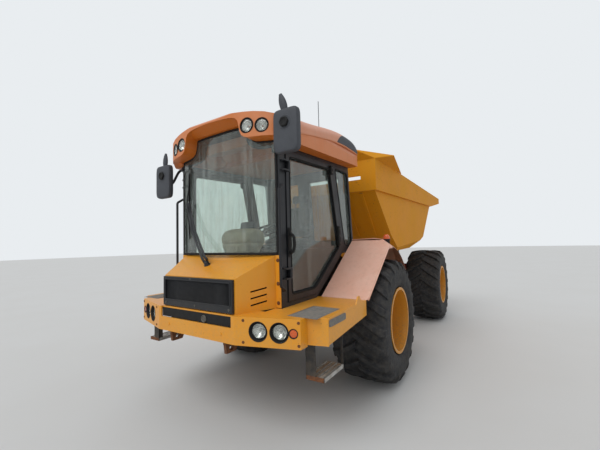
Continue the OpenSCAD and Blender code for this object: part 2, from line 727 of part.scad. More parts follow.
module mirror_set(s, p) {
  x = p[0];
  y = axle_f + p[1];
  z = p[2];
  scale([s, 1, 1]) {
    color(black) {
      front_slab(y - 18, y + 24.5, corners_cut(x - 105, x + 105, z - 165, z + 165, 26));
      front_slab(y - 30, y - 17, corners_cut(x - 97, x + 97, z - 157, z + 157, 22));
      translate([x, y - 29, z + 60]) rotate([90, 0, 0]) cylinder(h = 22, d = 58);
      bar([x + 4, y + 5, z + 135], [x - 31, y - 12, min(z + 330, mirror_top)], 30);
    }
    color(black) bent_bar([[cab_x + 0.3, axle_f - 1380, 2366], [x - 50, axle_f - 1380, 2366], [x, y + 100, z],
      [x, y + 12, z]], 28, 40);
  }
}
// A rectangle in x and z with its four corners cut by c
function corners_cut(x0, x1, z0, z1, c) = [[x0 + c, z0], [x1 - c, z0], [x1 - c * 0.3, z0 + c * 0.3], [x1, z0 + c],
  [x1, z1 - c], [x1 - c * 0.3, z1 - c * 0.3], [x1 - c, z1], [x0 + c, z1], [x0 + c * 0.3, z1 - c * 0.3], [x0, z1 - c],
  [x0, z0 + c], [x0 + c * 0.3, z0 + c * 0.3]];
mirror_top = 2705;
module mirror_l() mirror_set(1, [850, -1560, 2405]);
module mirror_r() mirror_set(-1, [790, -1530, 2215]);

module grab_rails() {
  x = cab_x + 30;
  y = axle_f - cab_y;
  color(black) both() bent_bar([[cab_x + 0.3, y + 15, 1150], [x, y + 15, 1150], [x, y - 50, 1190], [x, y - 50, 2000],
    [x, y + 15, 2040], [cab_x + 0.3, y + 15, 2040]], 24, 14);
}

// The wiper turns on a boss on the slope of the nose
wiper_y = 1560;
module wiper() {
  slope = atan2(nose_top - nose_z, nose_y - cab_y);
  base = nose_z + (nose_y - wiper_y) * tan(slope);
  color(black) {
    translate([-60, axle_f - wiper_y, base]) rotate([slope, 0, 0]) translate([0, 0, 0.3]) cylinder(h = 45, d = 46);
    bent_bar([[-60, axle_f - wiper_y - 14, base + 30], [-62, axle_f - wiper_y - 25, base + 90], [-200, axle_f - 1500, 2000]], 18);
  }
}

module antenna() {
  z = roof_top - 92 * pow(620 / (roof_x - 130), 2) + 0.3;
  color(black) translate([620, axle_f - 630, z]) cylinder(h = 3066 - z, d = 7);
}

module seat() {
  color(grey) {
    side_slab(-150, 150, [fa(-600, 1196.8), fa(-200, 1462.4), fa(-200, 1501), fa(-600, 1501)]);
    side_slab(-235, 235, [fa(-640, 1500), fa(-150, 1500), fa(-150, 1570), fa(-230, 1592), fa(-560, 1612), fa(-640, 1590)]);
    side_slab(-225, 225, [fa(-245, 1575), fa(-150, 1560), fa(-75, 1990), fa(-88, 2050), fa(-120, 2060), fa(-160, 2030)]);
    side_slab(-125, 125, [fa(-130, 2059), fa(-98, 2050), fa(-70, 2160), fa(-88, 2190), fa(-140, 2185), fa(-160, 2150)]);
    both() side_slab(240, 285, [fa(-520, 1690), fa(-190, 1700), fa(-170, 1730), fa(-190, 1752), fa(-520, 1738)]);
    both() side_slab(224, 241, [fa(-230, 1700), fa(-150, 1700), fa(-150, 1745), fa(-230, 1745)]);
  }
}

module dash_console() {
  color(beige) {
    intersection() {
      side_slab(-230, 230, [fa(-1300, 1040), fa(-1080, 1040), fa(-1060, 1400), fa(-1000, 1560), fa(-1000, 1640),
        fa(-1030, 1680), fa(-1110, 1700), fa(-1240, 1690), fa(-1310, 1640), fa(-1330, 1540), fa(-1310, 1400)]);
      front_slab(axle_f - 1340, axle_f - 990, [[-120, 1040], [120, 1040], [135, 1400], [200, 1520], [205, 1650],
        [170, 1690], [90, 1702], [-90, 1702], [-170, 1690], [-205, 1650], [-200, 1520], [-135, 1400]]);
    }
  }
  color(black) side_slab(-95, 95, [fa(-1120, 1699), fa(-1030, 1679), fa(-1050, 1760), fa(-1130, 1775)]);
}

module steering_wheel() {
  color(black) {
    translate([0, axle_f - 790, 1690]) rotate([25, 0, 0]) {
      rotate_extrude() translate([175, 0]) circle(d = 26);
      cylinder(h = 20, d = 70, center = true);
      for (i = [0 : 2]) rotate([0, 0, 90 + 120 * i]) translate([0, -14, -7]) cube([170, 28, 14]);
    }
    bar([0, axle_f - 1014.3, 1463.7], [0, axle_f - 790, 1688], 44);
  }
}

module rear_frame() {
  x1 = rear_rail_w / 2;
  y0 = axle_f + 1950;
  y1 = axle_r + 400;
  color(black) difference() {
    union() {
      translate([0, pivot_y, yoke_z + yoke_t + 6]) cylinder(h = yoke_top - yoke_z - 2 * yoke_t - 12, d = pivot_tube_d);
      for (z = [yoke_z + yoke_t + 20, yoke_top - yoke_t - 60])
        translate([0, 0, z]) linear_extrude(40) polygon([[-80, pivot_y], [80, pivot_y], [140, y0 + 1], [-140, y0 + 1]]);
      block([-x1, y0, yoke_z + yoke_t + 10], [x1, y0 + 40, rear_rail_top]);
      both() side_slab(x1 - rail_t, x1, [[y0 + 39, rear_rail_z], [y1, rear_rail_z], [y1, rear_rail_top], [y0 + 39, rear_rail_top]]);
      for (y = [axle_f + 2640, y1 - 30]) block([-x1 + 1, y, rear_rail_z + 20], [x1 - 1, y + 30, rear_rail_top - 100]);
      both() side_slab(x1 - rail_t, x1, [[tip_y - 160, rear_rail_top - 1], [tip_y + 160, rear_rail_top - 1],
        [tip_y + 60, tip_z + 20], [tip_y + 30, tip_z + 55], [tip_y - 30, tip_z + 55], [tip_y - 60, tip_z + 20]]);
      translate([0, 0, tow_z]) linear_extrude(tow_t) polygon([[-110, y1 - 20], [110, y1 - 20], [60, y1 + 90], [-60, y1 + 90]]);
      both() for (z = [-60, 36]) translate([0, 0, steer_z + z]) linear_extrude(24)
        polygon([[50, steer_eye[1] - 55], [steer_eye[0] + 30, steer_eye[1] - 45], [steer_eye[0] + 45, steer_eye[1] + 10],
          [steer_eye[0] + 20, steer_eye[1] + 60], [80, y0 + 1], [50, y0 + 1]]);
      block([-60, pivot_y + 60, yoke_z + yoke_t + 7], [60, y0 + 1, yoke_top - yoke_t - 7]);
      both() for (x = [tip_x - 50, tip_x + 34]) side_slab(x, x + 16, [[y0 + 39, 560], [tip_base[0] + 45, 575],
        [tip_base[0] + 45, 660], [tip_base[0], 710], [y0 + 39, 760]]);
    }
    translate([0, pivot_y, 0]) cylinder(h = 2000, d = pivot_d + 2 * fit);
    translate([-1000, tip_y, tip_z]) rotate([0, 90, 0]) cylinder(h = 2000, d = tip_d);
    translate([0, y1 + 45, tow_z - 1]) cylinder(h = tow_t + 2, d = tow_hole_d);
  }
  color(steel) translate([-x1 - 30, tip_y, tip_z]) rotate([0, 90, 0]) cylinder(h = 2 * x1 + 60, d = tip_d);
  color(steel) both() translate([tip_x - 50, tip_base[0], tip_base[1]]) rotate([0, 90, 0]) cylinder(h = 100, d = tip_pin_d);
}

module rear_lamps() {
  y1 = axle_r + 400;
  both() color(amber) block([rear_rail_w / 2 + 30, y1 - 5, 900], [rear_rail_w / 2 + 190, y1 + 50, 1010]);
  color(black) both() block([rear_rail_w / 2, y1 - 30, 880], [rear_rail_w / 2 + 200, y1 - 5, 1030]);
}

module steer_barrel(s) {
  v = steer_eye - steer_base;
  l = norm(v);
  scale([s, 1, 1]) color(black) translate([steer_base[0], steer_base[1], steer_z])
    rotate([0, 0, atan2(v[1], v[0])]) difference() {
      union() {
        cylinder(h = 44, d = 80, center = true);
        translate([35, 0, 0]) rotate([0, 90, 0]) cylinder(h = steer_barrel_l, d = steer_barrel_d);
      }
      cylinder(h = 100, d = steer_pin_d + 2 * fit, center = true);
      translate([70, 0, 0]) rotate([0, 90, 0]) cylinder(h = steer_barrel_l, d = steer_rod_d + 2 * fit);
    }
}
steer_barrel_l = 445;
steer_rod_l = 515;
module steer_barrel_left() steer_barrel(1);
module steer_barrel_right() steer_barrel(-1);

module steer_rod(s) {
  v = steer_eye - steer_base;
  l = norm(v);
  scale([s, 1, 1]) color(steel) translate([steer_base[0], steer_base[1], steer_z])
    rotate([0, 0, atan2(v[1], v[0])]) {
      translate([l - steer_rod_l, 0, 0]) rotate([0, 90, 0]) cylinder(h = steer_rod_l, d = steer_rod_d);
      translate([l, 0, 0]) cylinder(h = 50, d = 76, center = true);
    }
}
module steer_rod_left() steer_rod(1);
module steer_rod_right() steer_rod(-1);

tip_base = [axle_f + 2046, 620];
tip_eye = [axle_f + 2880, 1490];
tip_len = norm(tip_eye - tip_base);
tip_angle = atan2(tip_eye[1] - tip_base[1], tip_eye[0] - tip_base[0]);
tip_x = 190;
tip_barrel_l = 1050;
tip_rod_l = 1000;

// Children along a tipping cylinder's own axis, which becomes +x
module on_tip() {
  both() translate([tip_x, tip_base[0], tip_base[1]]) rotate([0, 0, 90]) rotate([0, -tip_angle, 0]) children();
}

module tip_barrels() {
  color(yellow) on_tip() difference() {
    union() {
      rotate([90, 0, 0]) cylinder(h = 60, d = 110, center = true);
      rotate([0, 90, 0]) cylinder(h = 81, d = 56);
      translate([80, 0, 0]) rotate([0, 90, 0]) cylinder(h = tip_barrel_l, d = tip_barrel_d);
    }
    rotate([90, 0, 0]) cylinder(h = 100, d = tip_pin_d + 2 * fit, center = true);
    translate([120, 0, 0]) rotate([0, 90, 0]) cylinder(h = tip_barrel_l, d = tip_rod_d + 2 * fit);
  }
}
tip_pin_d = 50;

module tip_rods() {
  color(steel) on_tip() {
    translate([tip_len - tip_rod_l, 0, 0]) rotate([0, 90, 0]) cylinder(h = tip_rod_l, d = tip_rod_d);
    translate([tip_len, 0, 0]) rotate([90, 0, 0]) cylinder(h = 60, d = 100, center = true);
  }
}

// The body's outline from the side up to the points top, less the amount t
module body_side(t, top) {
  polygon(concat([fa(500 + t, band_z + 3), fa(1030 + t, 1620 + t / 2), fa(1350 + t / 2, 1380 + t), ra(-980, 1405 + t),
    ra(-400, 1600 + t), ra(150, 2210 + t), ra(rear_overhang, 2330 + t)], top));
}

// The body's plan between its two ends, less the amount t
module body_plan(t, front) {
  y0 = axle_f + front;
  y1 = axle_r + rear_overhang;
  polygon([[-band_front + t, y0 + t], [band_front - t, y0 + t], [band_tail - t, y1 + 1], [-band_tail + t, y1 + 1]]);
}

// Everything behind the plane through p whose outward normal is n
module behind(p, n) {
  far = 9000;
  translate(p) rotate([0, acos(n[2] / norm(n)), atan2(n[1], n[0])]) translate([-far / 2, -far / 2, -far])
    cube([far, far, far]);
}

// Outward normal of the chamfer between the sloping front wall and a side wall
chamfer_n = [1, -0.751, -0.66];
chamfer_p = [band_front - band_step + 4, axle_f + 500, band_z];
module body_form(t, top) {
  intersection() {
    for (s = [-1, 1]) behind([s * (chamfer_p[0] - 60 - t * 0.7), chamfer_p[1] + t * 0.5, chamfer_p[2] + t * 0.5],
      [s * chamfer_n[0], chamfer_n[1], chamfer_n[2]]);
    rotate([90, 0, 90]) linear_extrude(3000, center = true) body_side(t, top);
    translate([0, 0, 1000]) linear_extrude(2000) body_plan(band_step + t, 440);
    front_slab(axle_f, axle_r + 1000, [[-1200, 3000], [-1200, 1800], [-820 + t / 2, 1360 + t / 2], [820 - t / 2, 1360 + t / 2], [1200, 1800], [1200, 3000]]);
  }
}

module band_form(t) {
  intersection() {
    translate([0, 0, 1000]) linear_extrude(2000) body_plan(t, 450);
    side_slab(-1500, 1500, [fa(440, band_z), fa(440, body_top), fa(700, body_top), ra(rear_overhang, body_tail_top),
      ra(rear_overhang, 2332), ra(160, band_z)]);
  }
}

bed_lug_x = rear_rail_w / 2 - rail_t - 8 - rail_t;
module bed_shell() {
  color(yellow) {
    difference() {
      union() {
        body_form(0, [ra(rear_overhang, 2332 + body_t), ra(160, band_z + body_t), fa(500, band_z + body_t)]);
        band_form(0);
      }
      body_form(body_t, [ra(rear_overhang + 1, 3000), fa(500 + body_t, 3000)]);
      translate([0, 0, body_t]) band_form(body_t);
      block([-650, axle_f + 440, 2382], [650, axle_f + 470, 2430]);
    }
    both() difference() {
      side_slab(bed_lug_x, bed_lug_x + rail_t, [ra(-820, 1455), ra(-400, 1603), ra(-60, 1981), [tip_y + 60, tip_z + 40],
        [tip_y + 55, tip_z - 35], [tip_y + 20, tip_z - 60], [tip_y - 40, tip_z - 55], [tip_y - 90, tip_z]]);
      translate([0, tip_y, tip_z]) rotate([0, 90, 0]) cylinder(h = 1000, d = tip_d + 2 * fit);
    }
    both() for (x = [tip_x - 52, tip_x + 38]) side_slab(x, x + 14, [[tip_eye[0] - 45, tip_eye[1] - 30],
      [tip_eye[0] + 30, tip_eye[1] - 55], [tip_eye[0] + 60, tip_eye[1] - 10], [tip_eye[0] + 150, tip_eye[1] + 475],
      [tip_eye[0] - 40, tip_eye[1] + 274]]);
  }
}

// Stiffeners: two folded strips on the front wall, two on each side wall
module bed_ribs() {
  d = 10;
  o = unit([-0.751, -0.66]);
  off = [d * o[0], d * o[1]];
  lift = 0.3 * o;
  a = fa(515, band_z - 14) + lift;
  b = fa(1022, 1629) + lift;
  color(yellow) {
    both() for (x = [330, 600]) side_slab(x, x + 46, [a, b, b + off, a + off]);
  }
}

module spill_guard() {
  t = [0, 0, 8];
  b = [band_front, axle_f + 452, body_top];
  e = [620, axle_f + 360, 2772];
  d = [1050, axle_f + 680, 2690];
  c = [945, axle_f + 1450, 2585];
  color(yellow) {
    plate([[-b[0], b[1], b[2]], [-e[0], e[1], e[2]], e, b], t);
    both() plate([b, e, d], t);
    both() plate([b, d, c], t);
  }
}

// One lug: a bar across half the tread, bent back at the shoulder
module lug() {
  r = tyre_od / 2;
  x0 = -10;
  secs = [[x0, 0, r - lug_h - 12, r], [tyre_w * 0.30, -95, r - lug_h - 14, r - 4], [tyre_w * 0.47, -160, r - lug_h - 70, r - 42]];
  pts = [for (s = secs) for (c = [[-lug_w / 2, s[2]], [lug_w / 2, s[2]], [lug_w * 0.40, s[3]], [-lug_w * 0.40, s[3]]])
    let (a = (s[1] + c[0]) / r * 180 / PI) [s[0], c[1] * sin(a), c[1] * cos(a)]];
  polyhedron(pts, concat([[0, 1, 2, 3]], [for (k = [0 : 1]) for (i = [0 : 3])
    [4 * k + i, 4 * k + 4 + i, 4 * k + 4 + (i + 1) % 4, 4 * k + (i + 1) % 4]], [[11, 10, 9, 8]]));
}

tyre_sides = 24;
// A tyre about the x axis, its lugs pointing forward at the top when s is 1
module tyre(s) {
  r = tyre_od / 2 - lug_h;
  bead = rim_d / 2 / cos(180 / tyre_sides) + 0.3;
  w = tyre_w / 2;
  color(rubber) resize([tyre_w, tyre_od, tyre_od]) scale([1, s, 1]) {
    rotate([0, 90, 0]) rotate_extrude($fn = tyre_sides) polygon([[bead, -w + 45], [bead + 120, -w],
      [r - 50, -w + 12], [r - 4, -w + 80], [r - 4, w - 80], [r - 50, w - 12], [bead + 120, w], [bead, w - 45]]);
    for (i = [0 : lug_count - 1]) {
      rotate([360 / lug_count * i, 0, 0]) lug();
      mirror([1, 0, 0]) rotate([360 / lug_count * (i + 0.5), 0, 0]) lug();
    }
  }
}

// A rim about the x axis, its open side towards +x
module rim() {
  r = rim_d / 2;
  w = rim_w / 2;
  f = r + rim_flange_h;
  d = -disc_inset;
  color(yellow) rotate([0, 90, 0]) {
    difference() {
      union() {
        rotate_extrude($fn = 96) polygon([[r, -w + 10], [f, -w + 6], [f, -w], [r - rim_wall, -w], [r - rim_wall, w],
          [f, w], [f, w - 6], [r, w - 10]]);
        translate([0, 0, d]) cylinder(h = 16, r = r - rim_wall + 1);
        translate([0, 0, d - 60]) cylinder(h = 140, d = hub_d);
      }
      translate([0, 0, d - 61]) cylinder(h = 142, d = spindle_d + 2 * fit);
      for (i = [0 : stud_count - 1]) rotate([0, 0, 360 / stud_count * i]) translate([stud_circle / 2, 0, d - 1]) cylinder(h = 18, d = stud_d);
    }
  }
}

// Wheel places: side and axle
module tyre_at(s, y) translate([s * wheel_x, y, axle_z]) tyre(1);
module rim_at(s, y) translate([s * wheel_x, y, axle_z]) scale([s, 1, 1]) rim();

front_frame();
hinge_yoke();
tow_lugs();
front_axle();
engine_block();
bumper();
platform_l();
platform_r();
step_l();
step_r();
headlamps();
nose_cover();
grille_panel();
cab_shell();
cab_floor();
windscreen();
cab_glass();
cab_roof();
roof_lamps();
door_l();
door_r();
door_glass_l();
door_glass_r();
fender_l();
fender_r_side();  // fender_r
mirror_l();
mirror_r();
grab_rails();
wiper();
antenna();
seat();
dash_console();
steering_wheel();
rear_frame();
rear_axle();
rear_lamps();
steer_barrel_left();  // steer_barrel_l
steer_barrel_right();  // steer_barrel_r
steer_rod_left();  // steer_rod_l
steer_rod_right();  // steer_rod_r
tip_barrels();
tip_rods();
bed_shell();
spill_guard();
bed_ribs();
fender_lamps();
engine_deck();
tyre_at(1, axle_f);  // tyre_fl
tyre_at(-1, axle_f);  // tyre_fr
tyre_at(1, axle_r);  // tyre_rl
tyre_at(-1, axle_r);  // tyre_rr
rim_at(1, axle_f);  // rim_fl
rim_at(-1, axle_f);  // rim_fr
rim_at(1, axle_r);  // rim_rl
rim_at(-1, axle_r);  // rim_rr
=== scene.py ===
"""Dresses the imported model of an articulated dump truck: finishes for every node,
finer pieces for what shows, a plain studio, and the photograph's camera."""

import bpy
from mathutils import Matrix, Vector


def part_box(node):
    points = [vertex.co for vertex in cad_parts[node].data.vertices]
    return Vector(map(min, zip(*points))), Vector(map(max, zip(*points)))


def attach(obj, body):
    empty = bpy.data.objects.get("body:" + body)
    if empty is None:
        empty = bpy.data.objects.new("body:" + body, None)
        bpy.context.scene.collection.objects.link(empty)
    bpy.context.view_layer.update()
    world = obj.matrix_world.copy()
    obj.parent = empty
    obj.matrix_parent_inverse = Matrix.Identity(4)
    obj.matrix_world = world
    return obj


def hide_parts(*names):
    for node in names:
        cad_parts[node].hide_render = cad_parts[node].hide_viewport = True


bl_info = {
    "name": "Articulated Dump Truck",
    "version": (1, 0, 0),
    "blender": (4, 5, 0),
    "location": "View3D > Sidebar > Dump Truck",
    "description": "Builds the finishes and fine pieces of a two-axle articulated dump truck",
    "category": "Add Mesh",
}

from math import cos, pi, radians, sin

import bmesh
import bpy
import numpy as np
from bpy.props import FloatProperty, FloatVectorProperty, IntProperty, PointerProperty
from mathutils import Matrix, Vector

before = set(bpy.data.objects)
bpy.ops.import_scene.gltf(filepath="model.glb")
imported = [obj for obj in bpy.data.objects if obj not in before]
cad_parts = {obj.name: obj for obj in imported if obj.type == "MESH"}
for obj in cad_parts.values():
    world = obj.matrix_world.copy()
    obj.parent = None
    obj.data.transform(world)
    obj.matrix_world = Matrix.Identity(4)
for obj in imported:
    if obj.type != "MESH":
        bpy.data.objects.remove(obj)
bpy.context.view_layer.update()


# ---------------------------------------------------------------- materials

def linear(code):
    """An sRGB hex value as the linear colour that a shader takes."""
    v = np.array([int(code[i:i + 2], 16) for i in (1, 3, 5)]) / 255
    v = np.where(v <= 0.04045, v / 12.92, ((v + 0.055) / 1.055) ** 2.4)
    return (*[float(c) for c in v], 1.0)


def add_node(tree, kind, sockets=None, **settings):
    """Adds one node, sets its own settings, and sets or links its sockets."""
    n = tree.nodes.new(kind)
    for key, value in settings.items():
        setattr(n, key, value)
    for key, value in (sockets or {}).items():
        if isinstance(value, bpy.types.NodeSocket):
            tree.links.new(value, n.inputs[key])
        else:
            n.inputs[key].default_value = value
    return n


def start_material(name, **shader):
    """A new material with only a Principled shader, and its object coordinates."""
    m = bpy.data.materials.new(name)
    m.use_nodes = True
    t = m.node_tree
    t.nodes.clear()
    bsdf = add_node(t, "ShaderNodeBsdfPrincipled", {k.replace("_", " "): v for k, v in shader.items()})
    add_node(t, "ShaderNodeOutputMaterial", {"Surface": bsdf.outputs[0]})
    where = add_node(t, "ShaderNodeTexCoord").outputs["Object"]
    return m, t, bsdf, where


def feed(t, bsdf, **sockets):
    """Links outputs to the shader's sockets; an underscore stands for the space in a socket's name."""
    for key, value in sockets.items():
        t.links.new(value, bsdf.inputs[key.replace("_", " ")])


def ramp(t, value, low=0.0, high=1.0, to_low=0.0, to_high=1.0):
    """Carries a value linearly from one range to another, and no further than its ends."""
    return add_node(t, "ShaderNodeMapRange", {"Value": value, "From Min": low, "From Max": high,
                                              "To Min": to_low, "To Max": to_high}).outputs[0]


def noise(t, where, size, detail=4.0, stretch=None, low=0.35, high=0.65):
    """Noise whose blobs are about size metres, as a mask from 0 to 1 between two levels."""
    if stretch:
        where = add_node(t, "ShaderNodeMapping", {"Vector": where, "Scale": stretch}).outputs[0]
    n = add_node(t, "ShaderNodeTexNoise",
                 {"Vector": where, "Scale": 1 / size, "Detail": detail, "Roughness": 0.6})
    return ramp(t, n.outputs["Fac"], low, high)


def bands(t, where, way, distortion=0.0):
    """Waves about 8 mm apart along one axis: the texture's period is 2 pi / (20 * scale)."""
    return add_node(t, "ShaderNodeTexWave", {"Vector": where, "Scale": 40.0, "Distortion": distortion},
                    bands_direction=way).outputs["Fac"]


def mix(t, factor, a, b):
    """Blends colour a into colour b by the factor."""
    n = add_node(t, "ShaderNodeMix", {"Factor": factor, "A": a, "B": b}, data_type="RGBA")
    return n.outputs["Result"]


def multiply(t, a, b):
    """The product of two values."""
    return add_node(t, "ShaderNodeMath", {0: a, 1: b}, operation="MULTIPLY").outputs[0]


def add(t, a, b):
    """The sum of two values."""
    return add_node(t, "ShaderNodeMath", {0: a, 1: b}, operation="ADD").outputs[0]


def height_mask(t, where, low, high):
    """1 below the height low, falling to 0 at the height high, in metres."""
    z = add_node(t, "ShaderNodeSeparateXYZ", {"Vector": where}).outputs["Z"]
    return ramp(t, z, low, high, 1.0, 0.0)


def up_mask(t, low, high):
    """0 where the surface faces sideways or down, 1 where it faces up."""
    n = add_node(t, "ShaderNodeNewGeometry").outputs["Normal"]
    z = add_node(t, "ShaderNodeSeparateXYZ", {"Vector": n}).outputs["Z"]
    return ramp(t, z, low, high)


def bump(t, height, distance, strength=1.0):
    """A bump of the given height in metres."""
    return add_node(t, "ShaderNodeBump",
                    {"Height": height, "Distance": distance, "Strength": strength}).outputs[0]


# Rust that shows where paint has chipped off
CHIP = "#5B3A26"


def paint(name, fresh, worn, dust, dust_top, rough=0.38, chips=0.71, coat=0.25, over=None, **shader):
    """Enamel sprayed on steel: worn by sun in broad patches, rain streaks down the
    sides, road dust low down and where it can lie, and small chips to the metal. What
    over gives for the finished colour, where it is named, takes that colour's place."""
    m, t, bsdf, where = start_material(name, Coat_Weight=coat, Coat_Roughness=0.12, **shader)
    broad = noise(t, where, 0.42, 3, low=0.38, high=0.7)
    streak = noise(t, where, 0.05, 3, (1, 1, 0.09), 0.5, 0.75)
    grime = noise(t, where, 0.02, 5, low=0.42, high=0.7)
    colour = mix(t, multiply(t, broad, 0.6), linear(fresh), linear(worn))
    colour = mix(t, multiply(t, streak, 0.12), colour, linear(dust))
    lying = multiply(t, up_mask(t, 0.55, 0.98), multiply(t, grime, 0.35))
    colour = mix(t, lying, colour, linear(dust))
    low_down = height_mask(t, where, dust_top - 0.45, dust_top)
    splashed = multiply(t, low_down, add(t, multiply(t, grime, 0.38), 0.06))
    colour = mix(t, splashed, colour, linear(dust))
    # Chips of 5 to 15 mm, where a coarse and a fine noise both peak
    fine = noise(t, where, 0.013, 2, low=chips, high=chips + 0.015)
    coarse = noise(t, where, 0.19, 2, low=0.5, high=0.55)
    colour = mix(t, multiply(t, fine, coarse), colour, linear(CHIP))
    dull = add(t, splashed, multiply(t, broad, 0.3))
    # Orange peel of about 4 mm, drawn coarser than real so that it shows
    feed(t, bsdf, Base_Color=over(t, where, colour) if over else colour,
         Roughness=ramp(t, dull, to_low=rough, to_high=min(1.0, rough + 0.4)),
         Normal=bump(t, noise(t, where, 0.004, 2), 0.0002, 0.25))
    return m


def scoured(t, where, outside):
    """The tipping body's colour: paint outside, and scoured to bare and rusty steel inside, where
    the surface faces up and lies below the rim."""
    steel = mix(t, noise(t, where, 0.11, 5), linear("#8B7355"), linear("#6E6A66"))
    steel = mix(t, noise(t, where, 0.2, 4, (1, 0.25, 1), 0.45, 0.6), steel, linear("#B98324"))
    inside = multiply(t, up_mask(t, 0.03, 0.25), height_mask(t, where, 2.33, 2.55))
    return mix(t, inside, outside, steel)


def sun_faded(name, deep, pale, chalk, low, high):
    """Vacuum-formed ABS, through-coloured orange: where the sun falls on it the
    colour has turned to a chalky salmon with a soft mottling."""
    m, t, bsdf, where = start_material(name, Coat_Weight=0.08, Coat_Roughness=0.3)
    mottled = noise(t, where, 0.16, 5, low=0.3, high=0.75)
    colour = mix(t, up_mask(t, low, high), linear(deep), mix(t, mottled, linear(pale), linear(chalk)))
    runs = noise(t, where, 0.035, 3, (1, 1, 0.12), 0.5, 0.8)
    # Moulded grain of about 3 mm
    feed(t, bsdf, Base_Color=mix(t, multiply(t, runs, 0.18), colour, linear("#A9805E")),
         Roughness=ramp(t, mottled, to_low=0.42, to_high=0.62),
         Normal=bump(t, noise(t, where, 0.003, 2), 0.0001, 0.3))
    return m


def plain_hard(name, base, spot, rough, size=0.03, amount=0.5, metallic=0.0, grain=0.003, depth=0.0002,
               dust=None):
    """A hard surface in one colour, clouded by a second one in blobs of a size, with a fine
    grain of a depth, and perhaps dust: its colour, the height where it ends and its most."""
    m, t, bsdf, where = start_material(name, Metallic=metallic)
    cloud = noise(t, where, size, 4)
    colour = mix(t, multiply(t, cloud, amount), linear(base), linear(spot))
    if dust:
        code, top, most = dust
        fall = multiply(t, height_mask(t, where, top - 0.5, top), most)
        film = multiply(t, noise(t, where, 0.06, 5, low=0.3, high=0.6), fall)
        colour = mix(t, film, colour, linear(code))
        lying = multiply(t, up_mask(t, 0.6, 0.95), most * 0.8)
        colour = mix(t, multiply(t, lying, noise(t, where, 0.04, 4)), colour, linear(code))
    feed(t, bsdf, Base_Color=colour, Roughness=ramp(t, cloud, to_low=rough, to_high=min(1, rough + 0.18)),
         Normal=bump(t, noise(t, where, grain, 2), depth, 0.5))
    return m


def safety_glass(name):
    """Laminated glass with a film of dust along its lower edge."""
    m, t, bsdf, where = start_material(name, Transmission_Weight=1.0, IOR=1.45, Roughness=0.0)
    film = multiply(t, noise(t, where, 0.09, 4, (1, 1, 0.4)), height_mask(t, where, 1.4, 2.3))
    # Dried rain runs, 20 to 40 mm wide, scatter a little light instead of letting it through
    runs = noise(t, where, 0.035, 4, (1, 1, 0.07), 0.45, 0.8)
    feed(t, bsdf, Base_Color=mix(t, multiply(t, film, 0.35), linear("#E4EFE9"), linear("#C6C7B8")),
         Transmission_Weight=ramp(t, runs, to_low=0.96, to_high=0.80))
    return m


def fluted_lens(name):
    """A clear lens with moulded flutes 8 mm apart."""
    m, t, bsdf, where = start_material(name, Transmission_Weight=0.9, IOR=1.5, Roughness=0.06)
    flutes = bands(t, where, "X")
    feed(t, bsdf, Base_Color=mix(t, multiply(t, flutes, 0.2), linear("#F4F6F2"), linear("#D9DDD6")),
         Normal=bump(t, flutes, 0.0008, 0.6))
    return m


def prism_lens(name, base, deep):
    """A coloured lens with moulded prisms 8 mm apart."""
    m, t, bsdf, where = start_material(name, Roughness=0.18, Coat_Weight=0.6, Coat_Roughness=0.05)
    cells = add_node(t, "ShaderNodeTexVoronoi", {"Vector": where, "Scale": 1 / 0.008}).outputs["Distance"]
    feed(t, bsdf, Base_Color=mix(t, cells, linear(base), linear(deep)), Normal=bump(t, cells, 0.0008, 0.6))
    return m


def tyre_compound(name):
    """Rubber whose sidewall has bloomed grey, its tread scuffed and brown with dry soil."""
    m, t, bsdf, where = start_material(name, Roughness=0.82)
    soil = noise(t, where, 0.05, 6, low=0.35, high=0.7)
    colour = mix(t, noise(t, where, 0.15, 4), linear("#131417"), linear("#212328"))
    colour = mix(t, multiply(t, soil, 0.26), colour, linear("#6B6459"))
    scuff = noise(t, where, 0.012, 3, low=0.55, high=0.75)
    feed(t, bsdf, Base_Color=mix(t, multiply(t, scuff, 0.3), colour, linear("#5E5E5E")),
         Normal=bump(t, noise(t, where, 0.008, 4), 0.0012, 0.6))
    return m


def weave(name):
    """Threads 1.5 mm apart, drawn 8 mm apart so that they show, and clouded by use."""
    m, t, bsdf, where = start_material(name, Roughness=0.9, Sheen_Weight=0.35, Sheen_Roughness=0.5)
    threads = multiply(t, bands(t, where, "X", 0.4), bands(t, where, "Z", 0.4))
    colour = mix(t, threads, linear("#26272B"), linear("#4A4C52"))
    feed(t, bsdf, Base_Color=mix(t, multiply(t, noise(t, where, 0.08, 4), 0.3), colour, linear("#6A655B")),
         Normal=bump(t, threads, 0.0006, 0.7))
    return m


